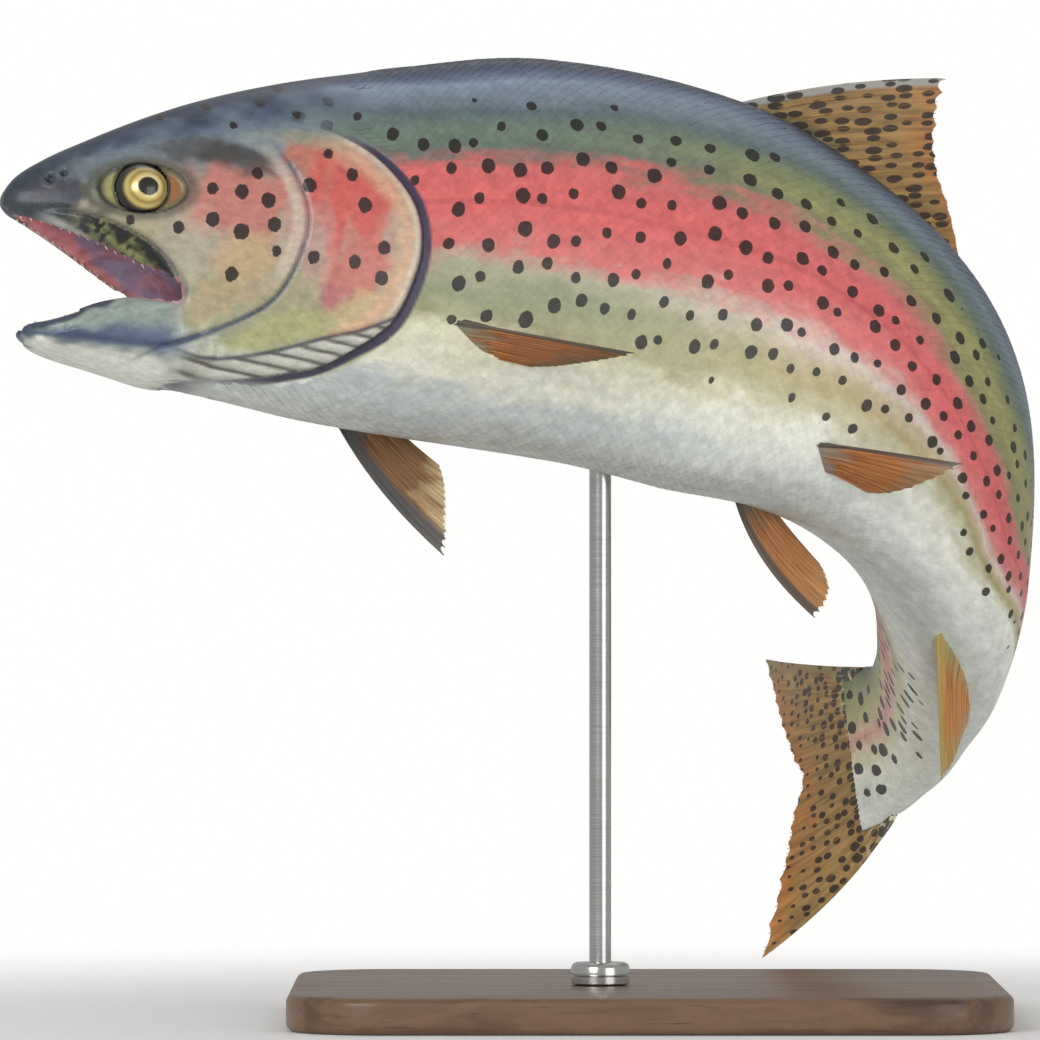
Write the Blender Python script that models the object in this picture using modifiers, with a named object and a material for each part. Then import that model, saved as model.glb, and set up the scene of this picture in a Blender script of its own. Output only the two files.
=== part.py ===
"""A life-size rainbow trout, arched as in a leap, held over a flat base by one short rod.

The fish is drawn straight first: x runs from the snout to the tail, y to its right side and z to its back.
posed() then carries every point to its place on the bent spine, so each sub-part is built already bent.
The origin is the centre of the base's underside. The fish looks towards -X and its left side faces -Y.
"""

import math

import bmesh
import bpy
import numpy as np
from mathutils import Matrix

MM = 0.001

# Driving dimensions of the straight fish, in millimetres
STANDARD_LENGTH = 440.0  # snout to the end of the tail stock
GAP = 0.3  # clearance between neighbouring sub-parts

# Body outline: x, height of the back, depth of the belly, half width
BODY = (
    (0.0, 1.5, 3.0, 2.6),
    (2.5, 5.6, 4.6, 5.4),
    (10.0, 11.8, 6.6, 9.6),
    (22.0, 19.0, 12.4, 14.2),
    (36.0, 26.6, 22.0, 18.0),
    (46.0, 31.4, 28.5, 20.6),
    (48.0, 32.3, 46.3, 21.2),
    (66.0, 39.2, 48.3, 25.4),
    (88.0, 45.8, 49.8, 28.4),
    (112.0, 51.0, 51.4, 28.6),
    (154.0, 55.6, 55.7, 29.4),
    (198.0, 55.4, 58.3, 29.7),
    (242.0, 50.2, 51.8, 28.8),
    (286.0, 42.4, 42.5, 27.0),
    (326.0, 32.0, 32.2, 23.2),
    (361.0, 25.0, 25.0, 16.5),
    (396.0, 20.3, 20.4, 10.2),
    (422.0, 20.2, 20.2, 6.6),
    (440.0, 22.4, 22.4, 4.2),
)
BACK_ROUNDNESS = 2.1  # superellipse powers of the cross-section
BELLY_ROUNDNESS = 2.15
JAW_WALL_ROUNDNESS = 3.0  # the upper jaw's sides hang down steeply
JAW_WALL_END = 46.0

# Lower jaw, wide open: x, height of its rim, height of its underside, half width
LOWER_JAW = (
    (7.2, -34.8, -37.6, 2.6),
    (8.6, -34.2, -38.9, 5.4),
    (12.0, -33.6, -40.3, 9.2),
    (19.0, -31.0, -42.0, 13.4),
    (27.0, -26.6, -43.4, 15.6),
    (36.0, -22.6, -44.9, 17.0),
    (45.8, -21.6, -46.2, 18.0),
)
# Hollow of the mouth: x, roof, floor, half width
MOUTH = (
    (-3.0, -12.0, -28.0, 1.5),
    (4.4, -4.4, -34.0, 3.4),
    (9.0, -2.6, -37.0, 5.8),
    (20.0, -1.0, -39.2, 9.6),
    (33.0, -3.0, -40.0, 13.4),
    (45.0, -10.0, -38.5, 15.6),
    (56.0, -19.0, -34.0, 13.0),
    (62.0, -24.0, -29.0, 6.0),
)
TONGUE = ((14.0, 1.2), (18.0, 4.6), (28.0, 6.4), (44.0, 6.6), (54.0, 5.6))  # x, half width
TONGUE_HEIGHT = 5.0

# Gill cover and cheek, as two ellipses seen from the side: centre x, centre z, half length, half height
GILL_EDGE = (70.0, -5.0, 39.5, 34.0)
CHEEK_EDGE = (48.0, -4.0, 30.0, 29.5)
COVER_FRONT_TOP = (66.0, 32.0)  # the cover lies behind the line through these two points
COVER_FRONT_BOTTOM = (52.0, -46.0)

# Upper jaw plates: where they start and end along x, and how wide they grow
MAXILLA_START, MAXILLA_END = 9.0, 46.0
MAXILLA_NARROW, MAXILLA_WIDE = 2.6, 9.0
MAXILLA_PROUD = 0.7

EYE_CENTRE = (35.0, 12.2, 3.4)  # for the right eye; the left one mirrors it
EYE_RADIUS = 7.6

# Where the body is parted, along x
TRUNK_STARTS = 96.0
PARTINGS = (TRUNK_STARTS, 190.0, 290.0, 362.0, STANDARD_LENGTH)
TRUNK_NAMES = ("trunk_front", "trunk_middle", "trunk_rear", "tail_stock")

# Pose of the snout in the display, and the turns that carry the straight fish to it, in degrees
SNOUT = (-174.0, -68.0, 224.0)
YAW, NOSE_UP, BANK = 18.0, 7.0, 11.0
# Spine: share of the standard length, then bend to the right, sag and roll, in degrees per body length
SPINE = (
    (0.26, 0, -80, -10),
    (0.34, 20, 70, 20),
    (0.42, 45, 125, 40),
    (0.50, 80, 115, 15),
    (0.58, 180, 190, 5),
    (0.66, 260, 110, 200),
    (0.74, 185, -135, 360),
    (0.82, -40, -250, 210),
    (0.90, -30, -80, 0),
    (0.98, 245, -165, -195),
)
SPINE_STARTS, SPINE_ENDS = 0.18, 1.06

# Display stand
BASE_LENGTH, BASE_WIDTH, BASE_THICKNESS = 196.0, 172.0, 10.0
BASE_CORNER, BASE_EDGE = 26.0, 2.0
ROD_RADIUS = 3.0
ROD_PLACE = (-13.0, -12.0)
ROD_TOP = 162.0
COLLAR_RADIUS, COLLAR_HEIGHT = 8.0, 6.0

# Display colours: base colour, roughness, metallic
FINISHES = {
    "skin": ((0.42, 0.46, 0.40), 0.35, 0.0),
    "fin": ((0.50, 0.27, 0.10), 0.45, 0.0),
    "jaw": ((0.30, 0.33, 0.26), 0.40, 0.0),
    "tongue": ((0.72, 0.33, 0.34), 0.40, 0.0),
    "eye": ((0.75, 0.55, 0.12), 0.08, 0.0),
    "stand_wood": ((0.10, 0.045, 0.02), 0.40, 0.0),
    "stand_steel": ((0.60, 0.60, 0.58), 0.30, 1.0),
}


# ---------------------------------------------------------------- smooth profiles and the pose


def profile(knots, values):
    """A smooth curve through the points, which rises and falls only where they do."""
    x, v = np.array(knots, float), np.array(values, float)
    step, slope = np.diff(x), np.diff(v) / np.diff(x)
    tangent = np.zeros(len(x))
    same_way = slope[1:] * slope[:-1] > 0
    w1, w2 = 2 * step[1:] + step[:-1], step[1:] + 2 * step[:-1]
    safe = np.where(same_way, slope[1:], 1.0), np.where(same_way, slope[:-1], 1.0)
    tangent[1:-1] = np.where(same_way, (w1 + w2) / (w1 / safe[1] + w2 / safe[0]), 0.0)
    tangent[0], tangent[-1] = slope[0], slope[-1]

    def curve(t):
        t = np.clip(np.asarray(t, float), x[0], x[-1])
        i = np.clip(np.searchsorted(x, t, side="right") - 1, 0, len(x) - 2)
        h = step[i]
        u = (t - x[i]) / h
        start = v[i] * (1 + 2 * u) * (1 - u) ** 2 + tangent[i] * h * u * (1 - u) ** 2
        return start + v[i + 1] * u * u * (3 - 2 * u) + tangent[i + 1] * h * u * u * (u - 1)

    return curve


def column_profiles(rows):
    """One smooth profile for each column after the first, which is the place along x."""
    columns = np.array(rows, float).T
    return [profile(columns[0], column) for column in columns[1:]]


back_height, belly_depth, half_width = column_profiles(BODY)


def turn_matrix(axis, degrees):
    """The rotation about one axis, as a 3 x 3 array."""
    c, s = math.cos(math.radians(degrees)), math.sin(math.radians(degrees))
    i, j = (axis + 1) % 3, (axis + 2) % 3
    matrix = np.eye(3)
    matrix[i, i] = matrix[j, j] = c
    matrix[j, i], matrix[i, j] = s, -s
    return matrix


def turn_about(vector):
    """The rotation about a vector by its length, in radians."""
    angle = np.linalg.norm(vector)
    if angle < 1e-12:
        return np.eye(3)
    x, y, z = vector / angle
    cross = np.array([[0, -z, y], [z, 0, -x], [-y, x, 0]])
    return np.eye(3) + math.sin(angle) * cross + (1 - math.cos(angle)) * cross @ cross


def spine_frames(reach=1.2, steps=480):
    """Places and axes along the spine: the axes' columns point to the tail, the right side and the back."""
    knots = [0.0, SPINE_STARTS, *(row[0] for row in SPINE), SPINE_ENDS, reach + 0.1]
    bends = [profile(knots, [0, 0, *(row[k] for row in SPINE), 0, 0]) for k in (1, 2, 3)]
    step = reach / steps
    place = np.array(SNOUT, float)
    axes = turn_matrix(2, YAW) @ turn_matrix(1, NOSE_UP) @ turn_matrix(0, -BANK)
    places, frames = [place], [axes]
    for k in range(steps):
        right, sag, roll = (bend((k + 0.5) * step) for bend in bends)
        turn = np.radians([-roll, sag, right]) * step
        place = place + (axes @ turn_about(turn / 2))[:, 0] * step * STANDARD_LENGTH
        axes = axes @ turn_about(turn)
        places.append(place)
        frames.append(axes)
    return np.array(places), np.array(frames), reach


PLACES, FRAMES, REACH = spine_frames()


def frame_at(x):
    """The spine's place and axes at x, between the computed steps."""
    x = np.asarray(x, float)
    t = np.clip(x / STANDARD_LENGTH / REACH, 0, 1) * (len(PLACES) - 1)
    i = np.minimum(t.astype(int), len(PLACES) - 2)
    share = t - i
    place = PLACES[i] + (PLACES[i + 1] - PLACES[i]) * share[..., None]
    axes = FRAMES[i] + (FRAMES[i + 1] - FRAMES[i]) * share[..., None, None]
    ahead = np.minimum(x, 0)[..., None] * axes[..., :, 0]
    return place + ahead, axes


def posed(points):
    """Straight-fish points in millimetres, carried to their places in the display, in metres."""
    points = np.asarray(points, float)
    place, axes = frame_at(points[..., 0])
    moved = place + points[..., 1:2] * axes[..., :, 1] + points[..., 2:3] * axes[..., :, 2]
    return moved * MM


# ---------------------------------------------------------------- rings, lofts and prisms


def power(value, exponent):
    """A signed power, which makes an ellipse fuller."""
    return np.sign(value) * np.abs(value) ** exponent


def section(x, middle, above, below, half, upper_power, lower_power, sides):
    """A closed ring across the fish, as rows of x, y, z: it starts at the back and turns to the left."""
    angle = np.arange(sides) * 2 * math.pi / sides
    c, s = np.cos(angle), np.sin(angle)
    exponent = 2 / np.where(c >= 0, upper_power, lower_power)
    z = middle + np.where(c >= 0, above, below) * power(c, exponent)
    return np.stack([np.full(sides, float(x)), -half * power(s, exponent), z], axis=1)


def body_ring(x, grow=0.0, sides=32):
    """The body's cross-section at x, grown outwards by grow."""
    roundness = JAW_WALL_ROUNDNESS if x < JAW_WALL_END else BELLY_ROUNDNESS
    above, below = float(back_height(x)) + grow, float(belly_depth(x)) + grow
    return section(x, 0, above, below, float(half_width(x)) + grow, BACK_ROUNDNESS, roundness, sides)


def rim_ring(x, top, bottom, half, upper_power, lower_power, sides=20):
    """A cross-section between two heights, such as the lower jaw's or the mouth's."""
    middle, tall = (top + bottom) / 2, abs(top - bottom) / 2
    return section(x, middle, tall, tall, half, upper_power, lower_power, sides)


def add_object(name, mesh, finish, cutter=False):
    """Places a mesh in the scene, as a sub-part or as a hidden cutter."""
    obj = bpy.data.objects.new(name, mesh)
    (CUTTERS if cutter else PARTS).objects.link(obj)
    if cutter:
        obj.hide_render = True
        obj.display_type = "WIRE"
    else:
        mesh.materials.append(FINISH[finish])
    return obj


def loft(name, rings, finish, cutter=False):
    """A closed solid through rings of the same number of points, with flat ends."""
    count, sides = len(rings), len(rings[0])
    points = posed(np.array(rings)).reshape(-1, 3)
    faces = [tuple(range(sides)), tuple((count - 1) * sides + k for k in reversed(range(sides)))]
    for r in range(count - 1):
        for k in range(sides):
            a, b = r * sides + k, r * sides + (k + 1) % sides
            faces.append((a, a + sides, b + sides, b))
    mesh = bpy.data.meshes.new(name)
    mesh.from_pydata(points.tolist(), [], faces)
    mesh.shade_smooth()
    mesh.set_sharp_from_angle(angle=math.radians(40))
    fix_normals(mesh)
    return add_object(name, mesh, finish, cutter)


def fix_normals(mesh):
    """Turns every face of a closed mesh outwards."""
    work = bmesh.new()
    work.from_mesh(mesh)
    bmesh.ops.recalc_face_normals(work, faces=work.faces)
    work.to_mesh(mesh)
    work.free()


def prism(name, outline, side, floor, reach=60.0):
    """A cutter for one side of the head: a side-view outline, carried outwards from a slanting floor."""
    (x0, y0), (x1, y1) = floor
    inner = [(x, side * (y0 + (y1 - y0) * (x - x0) / (x1 - x0)), z) for x, z in outline]
    outer = [(x, side * reach, z) for x, z in outline]
    points = posed(np.array([inner, outer])).reshape(-1, 3)
    n = len(outline)
    faces = [tuple(range(n)), tuple(range(n, 2 * n))]
    faces += [(k, (k + 1) % n, n + (k + 1) % n, n + k) for k in range(n)]
    mesh = bpy.data.meshes.new(name)
    mesh.from_pydata(points.tolist(), [], faces)
    fix_normals(mesh)
    return add_object(name, mesh, None, cutter=True)


def combine(obj, operation, other, solver="EXACT"):
    """Adds a Boolean of obj with other, which stays on the object."""
    step = obj.modifiers.new(f"{operation.lower()}_{other.name}", "BOOLEAN")
    step.operation = operation
    step.solver = solver
    step.object = other
    return obj


def stations(start, end, spacing):
    """Evenly spaced places along x, both ends included."""
    return np.linspace(start, end, max(2, round((end - start) / spacing) + 1))


# ---------------------------------------------------------------- the head


def ellipse_arc(ellipse, start, end, count, grow=0.0):
    """Points of an ellipse in the side view, from one angle to another, in degrees."""
    cx, cz, a, b = ellipse
    angles = np.radians(np.linspace(start, end, count))
    return [(cx + (a + grow) * math.cos(t), cz + (b + grow) * math.sin(t)) for t in angles]


def behind_front_line(point, margin):
    """True where a side-view point lies behind the gill cover's front line."""
    (xt, zt), (xb, zb) = COVER_FRONT_TOP, COVER_FRONT_BOTTOM
    line = xb + (xt - xb) * (point[1] - zb) / (zt - zb)
    return point[0] > line - margin


def cover_outline(grow=0.0):
    """The gill cover from the side: the gill edge's arc, and back along the cheek's edge."""
    outer = ellipse_arc(GILL_EDGE, 110, -115, 31, grow)
    inner = ellipse_arc(CHEEK_EDGE, -88, 75, 19, -grow)
    return [p for p in outer + inner if behind_front_line(p, grow)]


def maxilla_outline(grow=0.0):
    """The upper jaw plate from the side: it follows the jaw's lower edge and widens backwards."""
    xs = stations(MAXILLA_START, MAXILLA_END, 4.0)
    share = (xs - xs[0]) / (xs[-1] - xs[0])
    wide = MAXILLA_NARROW + (MAXILLA_WIDE - MAXILLA_NARROW) * share**0.8
    round_end = np.sqrt(np.clip(1 - ((share - 0.7) / 0.3).clip(0, 1) ** 2, 0.05, 1))
    middle = wide / 2 - belly_depth(xs)
    top = middle + wide / 2 * round_end + grow
    bottom = np.where(share < 0.75, middle - wide / 2 - 3.0, middle - wide / 2 * round_end) - grow
    xs = xs + grow * (2 * share - 1)
    return list(zip(xs, bottom)) + list(zip(xs[::-1], top[::-1]))


def side_name(side):
    """The word for a side: y is negative on the fish's left."""
    return "left" if side < 0 else "right"


def head_stations(start, end):
    """Places along x that follow the snout's and the jaw's shape closely, both ends included."""
    places = [0.0, 1.0, 2.5, 6.0, 10.0, 16.0, 22.0, 29.0, 36.0, 41.0, 45.9, 48.0]
    places += list(np.arange(54.0, 113.0, 7.0))
    return [start] + [x for x in places if start + 0.5 < x < end - 0.5] + [end]


def plate(kind, side):
    """A plate of the head's side: the body's shape, a little proud, inside the plate's outline."""
    outline, floor, proud, (start, end), finish = PLATES[kind]
    rings = [body_ring(x, proud) for x in head_stations(start, end)]
    piece = loft(f"{kind}_{side_name(side)}", rings, finish)
    raised = [(x, y + GAP) for x, y in floor]
    return combine(piece, "INTERSECT", prism(f"window_{piece.name}", outline(), side, raised))


def pocket(kind, side):
    """A cutter that clears a plate's seat, with a thin gap all round."""
    outline, floor, *_ = PLATES[kind]
    return prism(f"pocket_{kind}_{side_name(side)}", outline(GAP), side, floor)


def eyeball(side, grow, name, cutter=False):
    """An eye, or with grow the socket that holds it."""
    x, y, z = EYE_CENTRE
    centre = posed(np.array([x, side * y, z]))
    bpy.ops.mesh.primitive_uv_sphere_add(
        segments=20, ring_count=10, radius=(EYE_RADIUS + grow) * MM, location=centre.tolist()
    )
    ball = bpy.context.object
    ball.name = name
    for collection in list(ball.users_collection):
        collection.objects.unlink(ball)
    (CUTTERS if cutter else PARTS).objects.link(ball)
    ball.hide_render = cutter
    ball.data.shade_smooth()
    if cutter:
        ball.display_type = "WIRE"
    else:
        ball.data.materials.append(FINISH["eye"])
    return ball


def mouth_cutter(name, grow=0.0):
    """The hollow of the open mouth, between the palate and the floor of the jaw."""
    roof, floor, wide = column_profiles(MOUTH)
    xs = [row[0] for row in MOUTH]
    places = np.unique(np.concatenate([stations(xs[0], 20.0, 4.0), stations(20.0, xs[-1], 6.0)]))
    rings = [
        rim_ring(x, float(roof(x)) + grow, float(floor(x)) - grow, float(wide(x)) + grow, 2.4, 2.4)
        for x in places
    ]
    return loft(name, rings, None, cutter=True)


def make_head():
    """The skull, cheeks, throat and roof of the mouth, with seats for the plates and the eyes.

    Its cuts cross at thin edges, where the EXACT solver fails, so they use MANIFOLD.
    """
    head = loft("head", [body_ring(x) for x in head_stations(0.0, TRUNK_STARTS - GAP)], "skin")
    combine(head, "DIFFERENCE", mouth_cutter("mouth_hollow"), "MANIFOLD")
    for side in (-1, 1):
        socket = eyeball(side, GAP, f"socket_{side_name(side)}", cutter=True)
        combine(head, "DIFFERENCE", socket, "MANIFOLD")
        for kind in PLATES:
            POCKETS[kind, side] = pocket(kind, side)
            combine(head, "DIFFERENCE", POCKETS[kind, side], "MANIFOLD")
    return head


# Plates: outline, slanting floor (x, distance from the middle), how proud, span along x, finish
PLATES = {
    "gill_cover": (cover_outline, ((50.0, 15.0), (112.0, 21.0)), 0.8, (50.0, 112.0), "skin"),
    "maxilla": (maxilla_outline, ((9.0, 4.5), (46.0, 13.0)), MAXILLA_PROUD, (6.0, 45.9), "jaw"),
}
POCKETS = {}


def make_plates():
    """The gill covers and the upper jaw plates of both sides."""
    for side in (-1, 1):
        plate("gill_cover", side)
        combine(plate("maxilla", side), "DIFFERENCE", bpy.data.objects["mouth_hollow"])


def make_lower_jaw():
    """The open lower jaw: a trough with a rim, parted from the head above and behind it."""
    rim, underside, wide = column_profiles(LOWER_JAW)
    xs = [7.2, 7.8, 9.0, 11.0, 14.5, 19.0, 25.0, 31.0, 37.0, 42.0, 45.6]
    rings = [rim_ring(x, float(rim(x)), float(underside(x)), float(wide(x)), 3.0, 2.0, 24) for x in xs]
    jaw = loft("lower_jaw", rings, "jaw")
    grown = [body_ring(x, MAXILLA_PROUD + GAP) for x in head_stations(22.0, 45.9)]
    clearance = loft("clearance_upper_jaw", grown, None, cutter=True)
    combine(jaw, "DIFFERENCE", clearance, "MANIFOLD")
    return combine(jaw, "DIFFERENCE", bpy.data.objects["mouth_hollow"], "MANIFOLD")


def make_tongue():
    """The tongue, lying clear of the floor of the mouth."""
    floor = column_profiles(MOUTH)[1]
    wide = column_profiles(TONGUE)[0]
    rings = []
    for x in stations(TONGUE[0][0], TONGUE[-1][0], 4.0):
        half = float(wide(x))
        bottom = float(floor(x)) + 0.9 + half * half / 16
        rings.append(rim_ring(x, bottom + TONGUE_HEIGHT * min(1.0, half / 5), bottom, half, 2.0, 2.2, 16))
    return loft("tongue", rings, "tongue")


# ---------------------------------------------------------------- trunk, tail stock and fins


def make_trunk():
    """The trunk and the tail stock, in four lengths that part with thin straight cuts."""
    for name, start, end in zip(TRUNK_NAMES, PARTINGS[:-1], PARTINGS[1:]):
        last = end if end == STANDARD_LENGTH else end - GAP
        piece = loft(name, [body_ring(x) for x in stations(start, last, 10.0)], "skin")
        if name == "trunk_front":
            for side in (-1, 1):
                combine(piece, "DIFFERENCE", POCKETS["gill_cover", side])


def body_point(x, angle, grow=0.0):
    """A point of the body's surface: angle is in degrees from the back, positive towards the left."""
    c, s = math.cos(math.radians(angle)), math.sin(math.radians(angle))
    exponent = 2 / (BACK_ROUNDNESS if c >= 0 else BELLY_ROUNDNESS)
    reach = float(back_height(x) if c >= 0 else belly_depth(x)) + grow
    y = -(float(half_width(x)) + grow) * power(s, exponent)
    return np.array([x, y, reach * power(c, exponent)])


def ray_direction(x, lift, around):
    """A unit vector in the display: lift is its angle from the body's line, around its side of it."""
    axes = frame_at(x)[1]
    a, q = math.radians(lift), math.radians(around)
    outwards = math.cos(q) * axes[:, 2] - math.sin(q) * axes[:, 1]
    return math.cos(a) * axes[:, 0] + math.sin(a) * outwards


def fin(name, root, rays, ray_steps=6, across=9):
    """A fin: rays fan out from a root line on the body, and a thin tapered web joins them.

    root is (start x, end x, start angle, end angle) on the body, from the leading ray to the trailing one.
    rays is rows of (share along the root, length, lift, around, curl): curl bends the ray towards the tail.
    """
    shares = [row[0] for row in rays]
    length, lift, around, curl = (profile(shares, [row[k] for row in rays]) for k in (1, 2, 3, 4))
    x0, x1, a0, a1 = root
    grid = []
    for u in np.linspace(0, 1, across):
        x = x0 + (x1 - x0) * u
        start = posed(body_point(x, a0 + (a1 - a0) * u, -ROOT_DEPTH)) / MM
        line = ray_direction(x, float(lift(u)), float(around(u)))
        back = ray_direction(x, float(lift(u)) - 90, float(around(u)))
        for v in np.linspace(0, 1, ray_steps):
            along = float(length(u)) * v + ROOT_DEPTH * (1 - v)
            grid.append((start + line * along + back * float(curl(u)) * v * v) * MM)
    rim = [0.7 + 0.3 * math.sin(math.pi * r / (across - 1)) for r in range(across)]
    taper = [1 - 0.6 * k / (ray_steps - 1) for k in range(ray_steps)]
    weights = [edge * share for edge in rim for share in taper]
    web = sheet(name, grid, ray_steps, weights, FIN_THICKNESS)
    return combine(web, "DIFFERENCE", bpy.data.objects["body_clearance"])


def sheet(name, grid, columns, weights, thickness):
    """A thin solid from a grid of points: weights give each point's share of the full thickness."""
    faces = []
    for row in range(len(grid) // columns - 1):
        for k in range(columns - 1):
            a = row * columns + k
            faces.append((a, a + 1, a + 1 + columns, a + columns))
    mesh = bpy.data.meshes.new(name)
    mesh.from_pydata([tuple(p) for p in grid], [], faces)
    mesh.shade_smooth()
    web = add_object(name, mesh, "fin")
    group = web.vertex_groups.new(name="thickness")
    for index, weight in enumerate(weights):
        group.add([index], weight, "REPLACE")
    solid = web.modifiers.new("thickness", "SOLIDIFY")
    solid.thickness = thickness * MM
    solid.offset = 0
    solid.vertex_group = group.name
    return web


FINS = {
    "dorsal_fin": (
        (197.0, 260.0, 0.0, 0.0),
        (
            (0.0, 73, 31, 0, 9),
            (0.15, 60, 30, 0, 5),
            (0.35, 44, 27, 0, 1),
            (0.55, 32, 30, 0, 0),
            (0.75, 22, 36, 0, 0),
            (1.0, 9, 48, 0, 0),
        ),
    ),
    "adipose_fin": (
        (362.5, 372.0, 0.0, 0.0),
        ((0.0, 10, 30, 0, 2), (0.5, 14, 28, 0, 3), (1.0, 12, 18, 0, 3)),
    ),
    "anal_fin": (
        (321.0, 350.0, 180.0, 180.0),
        ((0.0, 48, 24, 182, 4), (0.3, 36, 24, 181, 2), (0.6, 22, 24, 180, 1), (1.0, 9, 24, 180, 0)),
    ),
    "pectoral_fin_left": (
        (118.0, 126.0, 117.0, 128.0),
        ((0.0, 57, 46, 111, 2), (0.4, 38, 39, 117, 1), (1.0, 16, 24, 130, 0)),
    ),
    "pectoral_fin_right": (
        (98.0, 112.0, -145.0, -152.0),
        ((0.0, 54, 57, -170, 11), (0.4, 41, 49, -170, 6), (1.0, 22, 38, -170, 1)),
    ),
    "pelvic_fin_left": (
        (238.0, 246.0, 138.0, 146.0),
        ((0.0, 46, 54, 90, 2), (0.4, 35, 56, 99, 2), (1.0, 17, 48, 112, 0)),
    ),
    "pelvic_fin_right": (
        (234.0, 248.0, -150.0, -160.0),
        ((0.0, 43, 48, -166, 15), (0.4, 38, 33, -170, 9), (1.0, 25, 16, -176, 1)),
    ),
}
FIN_THICKNESS = 2.4
ROOT_DEPTH = 3.0  # how far inside the body a fin starts before it is trimmed

# Tail fin: height on the tail stock's end, ray length, spread up or down, flex to the right
TAIL_UPPER = (
    (0.2, 46.0, -3.6, 4.0),
    (5.0, 51.0, -0.8, 2.0),
    (12.0, 61.0, 4.8, -2.0),
    (18.0, 73.0, 8.7, -6.0),
    (22.0, 82.0, 12.0, -8.0),
)
TAIL_LOWER = (
    (-0.2, 46.0, -4.6, 4.5),
    (-5.0, 50.4, -8.1, 7.5),
    (-12.0, 54.7, -14.2, 12.0),
    (-18.0, 60.5, -21.2, 16.5),
    (-22.0, 68.6, -27.7, 19.5),
)
TAIL_ROOT_THICKNESS = 5.0


def tail_ray(height, length, spread, flex, share):
    """A point of a tail fin ray: it fans in the fin's plane and flexes more and more to the right."""
    place, axes = frame_at(STANDARD_LENGTH + GAP)
    fan = math.radians(spread)
    bend = math.radians(flex) * share
    plane = math.cos(fan) * axes[:, 0] + math.sin(fan) * axes[:, 2]
    line = math.cos(bend) * plane + math.sin(bend) * axes[:, 1]
    return (place + axes[:, 2] * height + line * length * share) * MM


def tail_lobe(name, rows, across=8, steps=8):
    """One lobe of the tail fin, thick at its root and thin at its edge."""
    heights = np.array([abs(row[0]) for row in rows], float)
    sign = math.copysign(1, rows[-1][0])
    length, spread, flex = (profile(heights, [row[k] for row in rows]) for k in (1, 2, 3))
    shares = np.linspace(0, 1, steps)
    grid = []
    for height in np.linspace(heights[0], heights[-1], across):
        ray = float(length(height)), float(spread(height)), float(flex(height))
        grid += [tail_ray(sign * height, *ray, share) for share in shares]
    taper = [0.15 + 0.85 * (1 - share) ** 1.5 for share in shares]
    return sheet(name, grid, steps, taper * across, TAIL_ROOT_THICKNESS)


def make_fins():
    """All fins, each trimmed to the body with a thin gap."""
    grown = [body_ring(x, GAP) for x in stations(98.0, STANDARD_LENGTH - 2, 9.0)]
    loft("body_clearance", grown, None, cutter=True)
    for name, (root, rays) in FINS.items():
        fin(name, root, rays)
    tail_lobe("caudal_fin_upper", TAIL_UPPER)
    tail_lobe("caudal_fin_lower", TAIL_LOWER)


# ---------------------------------------------------------------- the stand


def make_base():
    """A flat wooden base with round corners and softened edges."""
    bpy.ops.mesh.primitive_cube_add(size=1)
    base = bpy.context.object
    base.name = "stand_base"
    base.data.transform(scale_matrix(BASE_LENGTH, BASE_WIDTH, BASE_THICKNESS))
    work = bmesh.new()
    work.from_mesh(base.data)
    bmesh.ops.translate(work, verts=work.verts, vec=(0, 0, BASE_THICKNESS * MM / 2))
    uprights = [e for e in work.edges if abs(e.verts[0].co.z - e.verts[1].co.z) > 1e-6]
    bmesh.ops.bevel(work, geom=uprights, offset=BASE_CORNER * MM, segments=8, affect="EDGES", profile=0.5)
    work.to_mesh(base.data)
    work.free()
    edge = base.modifiers.new("edge", "BEVEL")
    edge.width = BASE_EDGE * MM
    edge.segments = 2
    edge.limit_method = "ANGLE"
    edge.angle_limit = math.radians(60)
    move_to_parts(base, "stand_wood")


def scale_matrix(x, y, z):
    """A matrix that scales a unit cube to a size in millimetres."""
    return Matrix.Diagonal((x * MM, y * MM, z * MM, 1))


def move_to_parts(obj, finish):
    """Files an object made by an operator among the parts, with its finish."""
    for collection in list(obj.users_collection):
        collection.objects.unlink(obj)
    PARTS.objects.link(obj)
    obj.data.materials.append(FINISH[finish])


def cylinder(name, radius, bottom, top, place, sides=24):
    """An upright cylinder between two heights."""
    bpy.ops.mesh.primitive_cylinder_add(
        vertices=sides,
        radius=radius * MM,
        depth=(top - bottom) * MM,
        location=(place[0] * MM, place[1] * MM, (bottom + top) / 2 * MM),
    )
    made = bpy.context.object
    made.name = name
    made.data.shade_smooth()
    made.data.set_sharp_from_angle(angle=math.radians(40))
    move_to_parts(made, "stand_steel")
    return made


def make_stand():
    """The base, the collar on it, and the rod up to the belly."""
    make_base()
    collar_top = BASE_THICKNESS + GAP + COLLAR_HEIGHT
    cylinder("stand_collar", COLLAR_RADIUS, BASE_THICKNESS + GAP, collar_top, ROD_PLACE, 32)
    rod = cylinder("stand_rod", ROD_RADIUS, collar_top + GAP, ROD_TOP, ROD_PLACE)
    combine(rod, "DIFFERENCE", bpy.data.objects["body_clearance"])


# ---------------------------------------------------------------- build


def make_finish(name):
    """A plain material from the table of finishes."""
    colour, roughness, metallic = FINISHES[name]
    material = bpy.data.materials.new(name)
    material.use_nodes = True
    shader = material.node_tree.nodes["Principled BSDF"]
    shader.inputs["Base Color"].default_value = (*colour, 1)
    shader.inputs["Roughness"].default_value = roughness
    shader.inputs["Metallic"].default_value = metallic
    material.diffuse_color = (*colour, 1)
    return material


def new_collection(name):
    """A collection under the scene's own."""
    collection = bpy.data.collections.new(name)
    bpy.context.scene.collection.children.link(collection)
    return collection


for old in list(bpy.data.objects):
    bpy.data.objects.remove(old)
PARTS = new_collection("rainbow_trout")
CUTTERS = new_collection("cutters")
FINISH = {name: make_finish(name) for name in FINISHES}

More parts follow.
